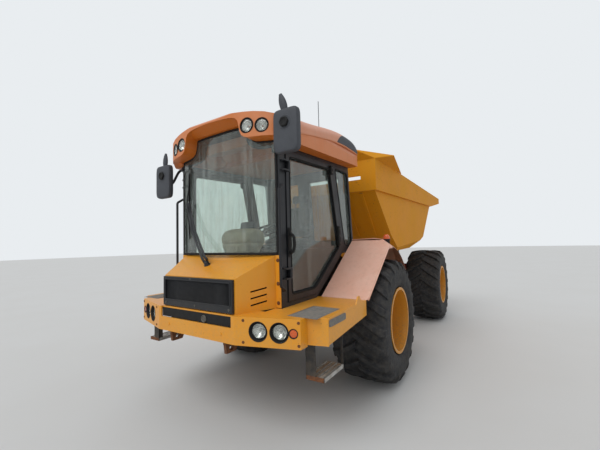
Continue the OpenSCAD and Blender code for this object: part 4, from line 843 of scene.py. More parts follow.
class DT_OT_front(bpy.types.Operator):
    """Makes the bumper's insert and bolts, the grille's slats and frame, and the wiper"""
    bl_idname = "dump_truck.front"
    bl_label = "Bumper, grille and wiper"

    def execute(self, context):
        s = context.scene.dump_truck_front
        self.bumper(s)
        self.grille(s)
        self.wiper(s)
        return {"FINISHED"}

    def bumper(self, s):
        """The black insert, a socket's cap, and the bolts of the bumper, its lamp panels and the nose."""
        ahead = (0, -1, 0)
        insert = upright("bumper_insert", (-0.4395, 0.4395), FACE + 0.0178, (0.9105, 0.9875), -0.004, 0.0012)
        dress(insert, "epdm_rubber", "front_unit", "black_plastic")
        # The cap: a rim, a shallow dish and a raised middle
        cap = lathe("bumper_socket_cap", [[0.030, 0], [0.030, 0.006], [0.028, 0.009], [0.024, 0.0095],
                                          [0.021, 0.006], [0.012, 0.0055], [0.008, 0.008], [0.0005, 0.0085]],
                    (0.123, FACE + 0.014, 0.943), ahead, 32)
        dress(cap, "grey_zinc", "front_unit", "black_plastic")
        rusty = ("front_unit", "rusty_steel", "rusty_steel")
        for side, n in SIDES:
            panel = [on_sweep(side, along, z) for along in (0.075, 0.508) for z in (0.815, 0.975)]
            bolts(f"lamp_panel_bolts_{n}", panel, swept(side), s.bolt * 0.7, *rusty)
            flange = [at(side * 0.613, -1.4053, z) for z in (1.045, 1.205, 1.4)]
            bolts(f"nose_flange_bolts_{n}", flange, ahead, s.bolt, *rusty)
        bolts("bumper_middle_bolts", [(x, FACE, 0.850) for x in (-0.33, 0.33)], ahead, s.bolt * 0.9,
              "front_unit", "yellow_enamel", "yellow_paint")

    def grille(self, s):
        """The slats, their frame, the panel's folded edge and its bolts. The slats are a
        saw-tooth with rounded crests in height, straight in width."""
        low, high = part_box("grille_panel")
        half, z0, z1 = 0.4130, 1.0635, 1.2435
        t = np.linspace(0, s.slats, s.slats * 8 + 1)
        saw = t % 1
        wave = np.where(saw < 0.72, saw / 0.72, (1 - saw) / 0.28)
        wave = np.convolve(np.pad(wave, 1, mode="edge"), [0.25, 0.5, 0.25], "valid")
        y, z = low.y + 0.010 - 0.0078 * wave, z0 + (z1 - z0) * t / s.slats
        grid = np.stack(np.broadcast_arrays(np.linspace(-half, half, 5)[None], y[:, None], z[:, None]), axis=2)
        coated = ("cab_powder_coat", "front_unit", "black_plastic")
        dress(walled(surface("grille_slats", grid), 0.0012), *coated)
        inner = rectangle((-half, half), low.y - 0.001, (z0, z1))
        dress(loop("grille_frame", inner, 0.0055, (0, 1, 0), 0.7, 0.014), *coated)
        outer = rectangle((low.x + 0.006, high.x - 0.006), low.y + 0.0025, (low.z + 0.006, high.z - 0.006))
        dress(loop("grille_edge", outer, 0.006, (0, 1, 0), 1, 0.02), *coated)
        places = [(x, low.y, z) for x, z in ((-0.40, 1.034), (0.0, 1.034), (0.40, 1.034), (-0.06, 1.256))]
        bolts("grille_bolts", places, (0, -1, 0), 0.018, "front_unit", "grey_zinc", "black_plastic")

    def wiper(self, s):
        """The wiper: a boss with a nut, two parallel bars that bend up, and a blade held by bows."""
        slope = np.arctan2(0.170, 0.342)
        axis = np.array([0, -sin(slope), cos(slope)])
        foot = np.array(at(-0.074, -1.566, 1.3607))
        boss = lathe("wiper_boss", [[0.030, 0.0003], [0.030, 0.006], [0.023, 0.010], [0.0225, 0.030],
                                    [0.0205, 0.034], [0.012, 0.035], [0.012, 0.044], [0.009, 0.0455],
                                    [0.0005, 0.0455]], foot, axis, 32)
        tip, side = at(-0.452, -1.480, 1.955), np.array([0.015, 0, 0.010])
        start = foot + axis * 0.036
        parts = [boss]
        for k, (sign, spread) in enumerate(((-1, 1.0), (1, 1.4))):
            path = [start + sign * side * spread, start + sign * side + [-0.028, -0.004, 0.034],
                    np.array(at(-0.35, -1.505, 1.70)) + sign * side, np.array(tip) + sign * side]
            parts.append(tube(f"bar_{k}", path, s.arm / 2, 12, (0, 1, 0), 0.55, 0.05))
        half = np.array([0.032, 0.007, 0.022])
        for k, p in enumerate((tip, at(-0.352, -1.507, 1.70))):
            parts.append(soft_block(f"plate_{k}", p - half, p + half, 5, (10, 16)))
        dress(joined("wiper_piece", parts), "cab_powder_coat", "front_unit", "black_plastic", ["wiper"])
        # The blade lies on the bowed glass: the main bow, two smaller ones and the rubber
        x, middle, reach = -0.492, 1.955, 0.345
        glass = AXLE_F + screen_y(x)
        t = np.linspace(-1, 1, 17)
        arc = 1 - t ** 2
        upright_line = lambda y, z: np.stack(np.broadcast_arrays(x, y, z), 1)
        parts = [tube("spine", upright_line(glass - 0.016 - 0.022 * arc, middle + 0.5 * reach * t), 0.0055, 8,
                      (1, 0, 0), 1.4)]
        for k, c in enumerate((-0.5, 0.5)):
            bow = upright_line(glass - 0.009 - 0.008 * arc, middle + reach * (c + 0.46 * t))
            parts.append(tube(f"bow_{k}", bow, 0.0045, 8, (1, 0, 0), 1.2))
        rubber = upright_line(glass - 0.006, middle + reach * np.linspace(-1, 1, 9))
        parts.append(tube("rubber", rubber, 0.0055, 8, (1, 0, 0), 0.8))
        link = [tip, at(-0.475, -1.474, 1.955), (x, glass - 0.036, middle)]
        parts.append(tube("link", link, 0.008, 10, (0, 0, 1), 1, 0.01))
        dress(joined("wiper_blade", parts), "epdm_rubber", "front_unit", "black_plastic")


# ---------------------------------------------------------------- mirrors

class DT_Mirrors(bpy.types.PropertyGroup):
    head: FloatVectorProperty(name="Mirror head", description="Width and height of a mirror's head", size=2,
                              default=(0.234, 0.352), min=0.1, max=0.4, unit="LENGTH")
    knob: FloatProperty(name="Knob", description="Diameter of the knob that locks the head", default=0.078,
                        min=0.03, max=0.08, unit="LENGTH")


class DT_OT_mirrors(bpy.types.Operator):
    """Makes both mirrors: a crowned housing, the glass, a lobed knob, the arm and the upper stay"""
    bl_idname = "dump_truck.mirrors"
    bl_label = "Mirrors"

    def execute(self, context):
        s = context.scene.dump_truck_mirrors
        plan = rounded_plan(s.head[0] / 2, s.head[1] / 2, 7, 64)
        for side, n, (x, y, z) in ((1, "l", (0.850, -1.560, 2.405)), (-1, "r", (0.790, -1.530, 2.215))):
            # The head hangs a little in and up from the arm's end
            centre = np.array(at(side * (x - 0.008), y, z + 0.012))
            # Housing: share of the plan and depth, from the glass's rim round the crowned back
            t = np.linspace(0, 1, 12) * pi / 2
            share = [0.93, 0.985, 1.0, 0.998, 0.985, *0.965 * np.cos(t[:-1]) ** 0.42, 0.001]
            deep = [0.0245, 0.0245, 0.020, -0.002, -0.012, *-0.018 - 0.012 * np.sin(t) ** 0.8]
            shell = surface(f"housing_{n}", rings(plan, share, deep)[..., [0, 2, 1]] + centre, wrap_v=True)
            # A dish round the knob, and the knob with six lobes: radius times 1 + 0.05 cos 6u
            spot = centre + [0, -0.0285, 0.06]
            dish = lathe(f"dish_{n}", [[0.058, -0.003], [0.058, 0.0015], [0.054, 0.004], [0.049, 0.0015],
                                       [0.044, -0.001]], spot, (0, -1, 0), 40)
            u = angles(72)
            r = s.knob / 2 * np.array([0.90, 1.0, 1.0, 0.93, 0.70, 0.66, 0.02])[:, None]
            h = np.array([0.0, 0.003, 0.013, 0.018, 0.020, 0.0165, 0.0165])[:, None]
            lobe = 1 + 0.05 * np.cos(6 * u)[None] * (r > 0.02)
            grid = np.stack(np.broadcast_arrays(r * lobe * np.cos(u), -h, r * lobe * np.sin(u)), axis=2) + spot
            knob = surface(f"knob_{n}", grid, wrap_v=True)
            # The stay: thick in the middle, its radius a root of a sine along it
            outer = np.array(at(side * (x - 0.012), y + 0.004, z + 0.14))
            tip = np.array(at(side * (x - 0.052), y - 0.012, z + 0.31))
            t = np.linspace(0, 1, 14)
            thick = 0.011 + 0.023 * np.sin(pi * np.clip(t * 1.02, 0.02, 0.985)) ** 0.7
            stay = tube(f"stay_{n}", outer + (tip - outer) * t[:, None], thick, 16, (0, 1, 0), 0.55)
            root = at(side * 0.6455, -1.380, 2.366)
            arm = tube(f"arm_{n}", [root, at(side * (x - 0.05), -1.380, 2.366), at(side * x, y + 0.100, z),
                                    at(side * x, y + 0.018, z)], 0.0138, 16, (0, 0.3, 1), 1, 0.04)
            foot = lathe(f"foot_{n}", [[0.034, 0.0], [0.034, 0.010], [0.026, 0.016], [0.021, 0.030],
                                       [0.0165, 0.034]], root, (side, 0, 0), 32)
            dress(knob, "epdm_rubber", "front_unit", "black_plastic")
            head = joined(f"mirror_piece_{n}", [shell, dish, stay])
            dress(head, "black_abs", "front_unit", "black_plastic", [f"mirror_{n}"])
            dress(joined(f"mirror_arm_{n}", [arm, foot]), "cab_powder_coat", "front_unit", "black_plastic")
            face = rings(plan, (0.001, 0.45, 0.90, 0.925), (0.0232, 0.0230, 0.0222, 0.0205))[..., [0, 2, 1]]
            glass = surface(f"mirror_glass_{n}", face + centre, wrap_v=True)
            dress(glass, "mirror_coating", "front_unit", "chrome")
        return {"FINISHED"}


# ---------------------------------------------------------------- cab

# Outlines of the panes: behind the axle and height, or for the windscreen across and height
DOOR_PANE = np.array([(-1.258, 1.095), (-0.855, 1.095), (-0.282, 1.482), (-0.475, 2.350), (-1.258, 2.312)])
QUARTER = np.array([(-0.125, 1.500), (0.085, 1.500), (0.005, 2.385), (-0.330, 2.385)])
ARCH = np.array([(0.620, 1.451), (0.620, 2.430), (0.480, 2.440), (0.420, 2.450), (0.384, 2.472), (0.364, 2.512),
                 (0.356, 2.560), (0.346, 2.604)])


class DT_Cab(bpy.types.PropertyGroup):
    gasket: FloatProperty(name="Gasket", description="Width of the rubber round each pane",
                          default=0.018, min=0.008, max=0.03, unit="LENGTH")


def side_line(outline, x):
    """An outline in y and z, set at one place across the machine."""
    return np.stack([np.full(len(outline), x), AXLE_F + outline[:, 0], outline[:, 1]], axis=1)


def inset(outline, by):
    """An outline moved towards its middle by a length."""
    middle = outline.mean(axis=0)
    away = outline - middle
    return outline - np.sign(away) * np.minimum(by, np.abs(away))


class DT_OT_cab(bpy.types.Operator):
    """Makes the rubber round the panes, the door handles, and the latches with their bolts"""
    bl_idname = "dump_truck.cab"
    bl_label = "Cab trim"

    def execute(self, context):
        r = context.scene.dump_truck_cab.gasket / 2
        for (side, n), body in zip(SIDES, ("door_left", "door_right")):
            black = ("epdm_rubber", body, "black_plastic")
            line = side_line(inset(DOOR_PANE, 0.002), side * DOOR_X)
            outer = loop(f"rubber_{n}", line, r, (1, 0, 0), 0.45, 0.05)
            line = side_line(inset(DOOR_PANE, 0.010), side * 0.627)
            bead = loop(f"seal_{n}", line, r * 0.7, (1, 0, 0), 1, 0.045)
            dress(joined(f"door_rubber_{n}", [outer, bead]), *black)
            # Pull handle: a grip on two feet, its plate, and a lock barrel over it
            y = -1.284
            line = ((DOOR_X, 1.455), (0.700, 1.475), (0.706, 1.54), (0.700, 1.605), (DOOR_X, 1.625))
            grip = tube("grip", [at(side * x, y, z) for x, z in line], 0.015, 12, (0, 1, 0), 0.8, 0.022)
            plate = soft_block("plate", at(side * DOOR_X, y - 0.021, 1.42), at(side * 0.659, y + 0.021, 1.68),
                               6, (12, 24))
            lock = lathe("lock", [[0.015, 0], [0.015, 0.006], [0.012, 0.009], [0.004, 0.009], [0.003, 0.006],
                                  [0.0003, 0.006]], at(side * 0.657, y, 1.655), (side, 0, 0), 24)
            dress(joined(f"door_handle_{n}", [grip, plate, lock]), *black)
            # Latches: behind the axle, height of the middle, and their own height
            blocks = [soft_block(f"latch_{k}", at(side * DOOR_X, y - 0.026, z - tall / 2),
                                 at(side * 0.6800, y + 0.026, z + tall / 2), 6, (14, 24))
                      for k, (y, z, tall) in enumerate(((-0.463, 2.335, 0.10), (-0.315, 1.61, 0.22)))]
            dress(joined(f"door_latches_{n}", blocks), *black)
            heads = ((-0.315, 1.53), (-0.315, 1.61), (-0.315, 1.69), (-0.463, 2.31), (-0.463, 2.36))
            heads = [at(side * 0.6798, y, z) for y, z in heads]
            bolts(f"door_latch_bolts_{n}", heads, (side, 0, 0), 0.014, body, "grey_zinc", "black_plastic")
            quarter = side_line(inset(QUARTER, 0.002), side * QUARTER_X)
            dress(loop(f"quarter_rubber_{n}", quarter, r, (1, 0, 0), 0.5, 0.05), "epdm_rubber", "front_unit",
                  "black_plastic")
        self.screen(r)
        return {"FINISHED"}

    def screen(self, r):
        """The windscreen's rubber: up the arch, over it and back along the foot, on the bowed glass."""
        half = inset(ARCH, 0.006)
        top = np.stack([np.linspace(half[-1, 0], -half[-1, 0], 9)[1:-1], np.full(7, half[-1, 1])], 1)
        foot = np.stack([np.linspace(-0.614, 0.614, 17)[1:-1], np.full(15, half[0, 1])], 1)
        line = np.concatenate([half, top, half[::-1] * [-1, 1], foot])
        p = np.stack([line[:, 0], AXLE_F + screen_y(line[:, 0]), line[:, 1]], axis=1)
        dress(loop("windscreen_rubber", p, r * 1.2, (0, 1, 0), 0.4, 0.02), "epdm_rubber", "front_unit",
              "black_plastic")


# ---------------------------------------------------------------- roof

class DT_Roof(bpy.types.PropertyGroup):
    rise: FloatProperty(name="Rise", description="How far the roof's shoulders rise towards the rear",
                        default=0.125, min=0, max=0.15, unit="LENGTH")
    lip: FloatProperty(name="Lip", description="How far the skin's edge stands out from the roof's side",
                       default=0.006, min=0.002, max=0.012, unit="LENGTH")
    badge: FloatVectorProperty(name="Corner panels", description="Length and height of the blank dark panels",
                               size=2, default=(0.60, 0.115), min=0.05, max=0.8, unit="LENGTH")


def crease(y):
    """Height of the edge along the roof's side, behind the front axle."""
    return np.interp(y, (-1.36, -1.28, -1.03, -0.65, -0.34, 0.12), (2.470, 2.487, 2.534, 2.592, 2.612, 2.602))


class DT_OT_roof(bpy.types.Operator):
    """Makes the roof's outer skin, whose shoulders rise towards the rear, and the blank panels on it"""
    bl_idname = "dump_truck.roof"
    bl_label = "Roof"

    def execute(self, context):
        s = context.scene.dump_truck_roof
        ease = lambda t: np.clip(t, 0, 1) ** 2 * (3 - 2 * np.clip(t, 0, 1))
        turn = np.linspace(0, pi / 2, 15)
        back = -0.20 + 0.328 * np.sin(turn[1:])
        y = np.concatenate([[-1.35, -1.345], np.linspace(-1.32, -0.20, 38), back])[:, None]
        rise = s.rise * ease((y + 1.32) / 1.05)
        out = np.interp(y, (-1.350, -1.345, -1.0), (-0.004, 0.003, s.lip))
        # The plain roof's top line from the side, and how far each section's middle lies under it
        ridge = np.interp(y, (-1.43, -1.25, -0.95), (2.727, 2.740, 2.752))
        # Half a section: a lip, an upright side, a quarter ellipse and a parabola to the middle
        a = np.linspace(0, pi / 2, 12)[None]
        up = np.linspace(0, 1, 6)[None] ** 0.8
        base, top = crease(y), 2.560 + rise
        x = [0.755 + 0 * y, 0.773 + out, 0.775 + out + 0 * up, 0.645 + (0.130 + out) * np.cos(a[:, 1:]),
             0.645 * np.linspace(1, 0, 12)[None, 1:] + 0 * y]
        across = np.linspace(1, 0, 12)[None, 1:]
        z = [base, base, base + 0.002 + (top - base - 0.002) * up, top + (0.100 + out) * np.sin(a[:, 1:]),
             np.minimum(2.752 - 0.092 * across ** 2, ridge) + out + rise * (0.55 + 0.45 * across ** 2)]
        x, z = np.concatenate(np.broadcast_arrays(*x[:2]) + x[2:], axis=1), np.concatenate(z, axis=1)
        # The rear closes as a quarter ellipse, and the plan's rear corners are rounded
        fall = np.sqrt(np.clip(1 - (np.clip(y + 0.20, 0, None) / 0.329) ** 2, 0, 1))
        z = base + (z - base) * fall
        x = x * np.interp(y, (-0.06, 0.06, 0.118, 0.128), (1, 0.99, 0.935, 0.88))
        half = np.stack(np.broadcast_arrays(x, AXLE_F + y, z), axis=2)
        grid = np.concatenate([half, half[:, -2::-1] * [-1, 1, 1]], axis=1)
        skin = surface("roof_skin", grid, wrap_v=True, caps=True)
        dress(skin, "bleached_abs", "front_unit", "faded_plastic")
        self.panels(s, skin)
        return {"FINISHED"}

    def panels(self, s, skin):
        """Blank dark panels on the roof's rear corners: a lens-shaped grid laid on the roof from
        outside. At the share t of half its length, its height is the panel's times 1 - |t|^3.2."""
        t = np.linspace(-0.995, 0.995, 49)
        y = AXLE_F - 0.225 + t * s.badge[0] / 2
        low = crease(y - AXLE_F) + 0.014
        high = low + s.badge[1] * (1 - np.abs(t) ** 3.2)
        z = low[:, None] + (high - low)[:, None] * np.linspace(0, 1, 13)[None]
        for side, n in SIDES:
            o = surface(f"corner_panel_{n}", np.stack(np.broadcast_arrays(side * 0.86, y[:, None], z), axis=2))
            lay = o.modifiers.new("lay", "SHRINKWRAP")
            lay.target, lay.wrap_method = skin, "PROJECT"
            lay.use_project_x, lay.use_negative_direction, lay.use_positive_direction = True, True, True
            lay.project_limit = 0.3
            lay.wrap_mode, lay.offset = "ABOVE_SURFACE", 0.002
            dress(walled(o, 0.003), "black_abs", "front_unit", "black_plastic")


# ---------------------------------------------------------------- platforms and steps

class DT_Steps(bpy.types.PropertyGroup):
    bars: IntProperty(name="Tread bars", description="Bars in each step's tread", default=3, min=3, max=8)
    ribs: IntProperty(name="Mat ribs", description="Ribs across each anti-slip mat", default=22, min=8, max=40)


def mat(name, low, high, ribs):
    """An anti-slip mat between two corners: its top rises and falls as the square of a sine
    between ribs, its rim is flat."""
    proud = 0.0035
    t = np.linspace(0, 1, ribs * 6 + 1)
    u = np.linspace(0, 1, 9)
    edge = np.minimum(1, np.minimum(t, 1 - t) * ribs)
    lift = proud * 0.4 + proud * 0.6 * np.sin(pi * t * ribs) ** 2 * edge
    across = np.where((u < 0.001) | (u > 0.999), 0.0, 1.0)
    along = np.where((t < 1e-6) | (t > 1 - 1e-6), 0, 1)
    z = low[2] + lift[:, None] * across[None] * along[:, None]
    top = np.stack(np.broadcast_arrays((low[0] + (high[0] - low[0]) * u)[None],
                                       (low[1] + (high[1] - low[1]) * t)[:, None], z), axis=2)
    return walled(surface(name, top), 0.0015)


class DT_OT_steps(bpy.types.Operator):
    """Makes the anti-slip mats, the hanging steps, and the plates between bumper and skirt"""
    bl_idname = "dump_truck.steps"
    bl_label = "Steps and mats"

    def execute(self, context):
        s = context.scene.dump_truck_steps
        for side, n in SIDES:
            inner, outer = sorted((side * 0.82, side * 1.075))
            rubber = mat(f"platform_mat_{n}", at(inner, -1.58, 1.0004), at(outer, -1.19, 1.0004), s.ribs)
            dress(rubber, "grit_rubber", "front_unit", "black_plastic")
            # Black edge guard on the skirt, under the mat
            guard = soft_block(f"skirt_guard_{n}", at(side * 1.1300, -1.500, 0.930),
                               at(side * 1.1350, -1.215, 0.984), 8, (12, 32))
            dress(guard, "grit_rubber", "front_unit", "black_plastic")
            self.step(s, side, n)
            # The plate that closes the corner between the bumper's end and the skirt
            plan = ((0.9758, 0.2380), (1.1285, 0.2779), (1.1285, 0.2879), (0.9640, 0.2480))
            plan = [(side * x, FACE + y, 0.7985) for x, y in plan]
            corner = slab(f"corner_plate_{n}", plan, (0, 0, 0.1890), 0.0015)
            dress(corner, "yellow_enamel", "front_unit", "yellow_paint")
        return {"FINISHED"}

    def step(self, s, side, n):
        """One hanging step: its hangers, its tread of bars, and the rails round it."""
        low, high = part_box("step_l")
        across = lambda *x: [side * v for v in x]
        # Hangers: a folded plate with a turned edge, and the strap behind
        tall = (low.z + 0.03, high.z)
        plate = upright("plate", across(low.x, high.x - 0.070), low.y, tall, 0.008, 0.002)
        fold = upright("fold", across(low.x, low.x + 0.006), low.y, (low.z + 0.031, high.z), 0.045, 0.0015)
        strap = upright("strap", across(high.x - 0.02, high.x), high.y - 0.008, tall, 0.008, 0.002)
        hangers = joined(f"step_hangers_{n}", [plate, fold, strap])
        dress(hangers, "chassis_paint", "front_unit", "cab_black", [f"step_{n}"])
        # Bars along the machine, each a channel with a toothed top
        span = (high.x - low.x - 0.03) / s.bars
        t = np.linspace(0, 1, 61)[:, None]
        tooth = 0.0035 * (np.abs((t * 15) % 1 - 0.5) * 2)
        out, up = np.array([-1, 1, 1, -1]) * (span * 0.34), np.array([0.0, 0.0, 0.022, 0.022])
        parts = []
        for k in range(s.bars):
            x = side * (low.x + 0.015 + span * (k + 0.5) + out)
            grid = np.stack(np.broadcast_arrays(x, low.y + 0.006 + (high.y - low.y - 0.012) * t,
                                                low.z + 0.003 + up + tooth * (up > 0.01)), axis=2)
            parts.append(surface(f"tread_{k}", grid, wrap_v=True, caps=True, smooth=False))
        dress(joined(f"step_tread_{n}", parts), "mill_aluminium", "front_unit", "step_metal")
        # Rails of flat bar on four sides, the front one of rusty steel: two x, two y and the height
        rails = ((low.x, high.x, low.y, low.y + 0.006, 0.032), (low.x, high.x, high.y - 0.006, high.y, 0.030),
                 (low.x, low.x + 0.006, low.y, high.y, 0.030), (high.x - 0.006, high.x, low.y, high.y, 0.030))
        lips = []
        for k, (x0, x1, y0, y1, tall) in enumerate(rails):
            foot = [(side * x, y, low.z) for x, y in ((x0, y0), (x1, y0), (x1, y1), (x0, y1))]
            lips.append(slab(f"lip_{k}", foot, (0, 0, tall), 0.0015))
        dress(lips[0], "rusty_steel", "front_unit", "rusty_steel")
        lips[0].name = f"step_front_lip_{n}"
        dress(joined(f"step_rails_{n}", lips[1:]), "mill_aluminium", "front_unit", "step_metal")


# ---------------------------------------------------------------- wheels

class DT_Wheels(bpy.types.PropertyGroup):
    studs: IntProperty(name="Studs", description="Wheel studs, as many as the rim has holes",
                       default=10, min=8, max=12)
    circle: FloatProperty(name="Stud circle", description="Diameter of the circle through the studs",
                          default=0.335, min=0.2, max=0.4, unit="LENGTH")


def around(centre, radius, u):
    """Places round a wheel at the angles u: centre + radius * (0, sin u, cos u)."""
    return centre + radius * np.stack([np.zeros(len(u)), np.sin(u), np.cos(u)], 1)


class DT_OT_wheels(bpy.types.Operator):
    """Makes each wheel's studs, hub cap with its bolts, rim edge and pressed ring, and valve"""
    bl_idname = "dump_truck.wheels"
    bl_label = "Wheel details"

    def execute(self, context):
        s = context.scene.dump_truck_wheels
        for k, (low, high) in TYRE.items():
            body = "wheel_" + k
            side = 1 if k.endswith("l") else -1
            centre = np.array((low + high) / 2)
            out = np.array([side, 0, 0])
            studs = around(centre + out * -0.044, s.circle / 2, np.arange(s.studs) * 2 * pi / s.studs)
            nuts = repeat(f"nuts_{k}", [[0.021, 0], [0.021, 0.004], [0.0175, 0.005], [0.0175, 0.022],
                                        [0.0145, 0.026], [0.0105, 0.0262], [0.0105, 0.044], [0.008, 0.047],
                                        [0.0003, 0.047]], studs, out, 12)
            dress(nuts, "grey_zinc", body, "step_metal")
            hub = lathe(f"hub_cap_{k}", [[0.131, -0.0435], [0.136, -0.041], [0.136, -0.034], [0.131, -0.030],
                                         [0.1305, 0.0195], [0.124, 0.026], [0.098, 0.0285], [0.094, 0.034],
                                         [0.060, 0.0375], [0.040, 0.038], [0.034, 0.033], [0.0005, 0.033]],
                        centre, out, 72)
            ring = around(centre + out * 0.0268, 0.111, np.arange(8) * pi / 4 + 0.2)
            small = repeat(f"hub_bolts_{k}", [[0.009, 0], [0.009, 0.006], [0.0078, 0.0075], [0.0003, 0.0075]],
                           ring, out)
            # A rolled step inside the rim's edge and the flange's rounded lip, measured in from that edge
            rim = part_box("rim_" + k)
            edge = ((rim[1].z - rim[0].z) / 2, (rim[1].x - rim[0].x) / 2)
            lip = lathe(f"lip_{k}", edge - np.array(
                [[0.0295, 0.060], [0.0285, 0.020], [0.026, 0.006], [0.018, 0.0015], [0.007, 0.0005],
                 [0.001, 0.005], [0.0008, 0.010], [0.006, 0.006], [0.020, 0.007], [0.0270, 0.024],
                 [0.0275, 0.060]]), centre, out, 120)
            # The disc's pressed ring: a raised bead between studs and rim
            bead = lathe(f"bead_{k}", [[0.222, -0.0442], [0.230, -0.036], [0.242, -0.031], [0.262, -0.030],
                                       [0.276, -0.034], [0.285, -0.0442]], centre, out, 96)
            dress(joined(f"wheel_piece_{k}", [hub, small, lip, bead]), "rim_enamel", body, "yellow_paint")
            stem = [centre + [side * x, y, z] for x, y, z in ((-0.04, 0.16, 0.235), (0.01, 0.16, 0.237),
                                                              (0.035, 0.150, 0.222))]
            valve = tube(f"valve_{k}", stem, 0.006, 10, (0, 1, 0), 1, 0.02)
            dress(valve, "epdm_rubber", body, "black_plastic")
        return {"FINISHED"}


# ---------------------------------------------------------------- fenders

class DT_Fenders(bpy.types.PropertyGroup):
    hem: FloatProperty(name="Hem", description="Diameter of the rolled hem along the fenders' outer edge",
                       default=0.018, min=0.008, max=0.03, unit="LENGTH")


class DT_OT_fenders(bpy.types.Operator):
    """Makes the fenders' rolled hems and the black collars of their ball lamps"""
    bl_idname = "dump_truck.fenders"
    bl_label = "Fender details"

    def execute(self, context):
        s = context.scene.dump_truck_fenders
        # The slope under the door, then the arc about the axle down to the tail
        slope = np.array([(-0.750, 1.0045), (-0.073, 1.4603)])
        a = np.radians(np.linspace(95.5, -6.5, 40))
        arc = np.stack([-0.803 * np.cos(a), AXLE_Z + 0.803 * np.sin(a)], 1)
        line = np.concatenate([slope, arc[arc[:, 0] > -0.06]]) - [0, 0.004]
        for side, n in SIDES:
            hem = tube(f"fender_hem_{n}", side_line(line, side * 1.1495), s.hem / 2, 10, (1, 0, 0), 0.8)
            dress(hem, "fender_abs", "front_unit", "faded_plastic")
            collar = lathe(f"fender_lamp_collar_{n}", [[0.0376, -0.058], [0.0392, -0.056], [0.0392, -0.008],
                                                       [0.0425, -0.004], [0.0425, 0.0035], [0.0405, 0.0055]],
                           at(side * 1.050, 0.190, 1.556), (0, 0, 1))
            dress(collar, "epdm_rubber", "front_unit", "black_plastic")
        return {"FINISHED"}


# ---------------------------------------------------------------- console

class DT_Console(bpy.types.PropertyGroup):
    roundness: FloatProperty(name="Roundness", default=3.6, min=2, max=8,
                             description="Power of the console's plan: 2 is an oval, 8 nearly a box")


class DT_OT_console(bpy.types.Operator):
    """Makes the console as a moulding with a dome over a narrower column, and its display"""
    bl_idname = "dump_truck.console"
    bl_label = "Console"

    def execute(self, context):
        s = context.scene.dump_truck_console
        # Height, half width, front and back of the plan; each row is a superellipse
        rows = np.array([(1.0408, 0.118, -1.293, -1.087), (1.200, 0.124, -1.300, -1.075),
                         (1.380, 0.134, -1.308, -1.064), (1.460, 0.158, -1.316, -1.045),
                         (1.520, 0.186, -1.324, -1.020), (1.546, 0.196, -1.327, -1.006),
                         (1.549, 0.190, -1.321, -1.012), (1.555, 0.190, -1.321, -1.012),
                         (1.558, 0.199, -1.329, -1.003), (1.600, 0.2035, -1.328, -1.001),
                         (1.640, 0.2000, -1.318, -1.004), (1.668, 0.186, -1.296, -1.022),
                         (1.688, 0.160, -1.262, -1.052), (1.698, 0.118, -1.220, -1.090),
                         (1.7005, 0.060, -1.180, -1.130), (1.7005, 0.001, -1.156, -1.154)])
        z, half, front, back = rows.T[..., None]
        plan = rounded_plan(1, 1, s.roundness, 72)
        y = AXLE_F + (front + back) / 2 + (back - front) / 2 * plan[:, 1]
        grid = np.stack(np.broadcast_arrays(half * plan[:, 0], y, z), axis=2)
        dome = surface("console", grid, wrap_v=True, caps=True)
        dress(dome, "beige_abs", "front_unit", "beige_plastic", ["dash_console"])
        # The display's hood on top: a block leaning with the console's back
        hood = soft_block("console_display", at(-0.094, -1.118, 1.690), at(0.094, -1.048, 1.768), 7, (18, 36))
        hood = leaned(hood, np.array(at(0, -1.08, 1.70)), -0.2)
        dress(hood, "black_abs", "front_unit", "black_plastic")
        return {"FINISHED"}


# ---------------------------------------------------------------- seat

class DT_Seat(bpy.types.PropertyGroup):
    fill: FloatProperty(name="Filling", description="How tightly the cushions are filled",
                        default=0.7, min=0, max=1)


def cushion(name, low, high, pinch=0.012, crown=0.008):
    """A cushion before it swells: a superellipsoid whose sides draw in between the corners
    by pinch * (1 - w^2), w being the share of the way from the side's middle, and whose
    top is crowned by the same rule."""
    o = soft_block(name, low, high, 6.0, (28, 56))
    p = coords(o)
    low, high = np.asarray(low, float), np.asarray(high, float)
    w = (p - (low + high) / 2) / ((high - low) / 2)
    p[:, 0] -= np.sign(w[:, 0]) * pinch * (1 - w[:, 1] ** 2) * np.abs(w[:, 0]) ** 4
    p[:, 1] -= np.sign(w[:, 1]) * pinch * (1 - w[:, 0] ** 2) * np.abs(w[:, 1]) ** 4
    p[:, 2] += crown * (1 - w[:, 0] ** 2) * (1 - w[:, 1] ** 2) * (w[:, 2] > 0)
    set_coords(o, p)
    return o


def leaned(o, foot, angle):
    """Turns a piece's points about the x axis through a point, by an angle in radians."""
    p = coords(o) - foot
    y, z = p[:, 1].copy(), p[:, 2].copy()
    p[:, 1], p[:, 2] = y * cos(angle) - z * sin(angle), y * sin(angle) + z * cos(angle)
    set_coords(o, p + foot)
    return o


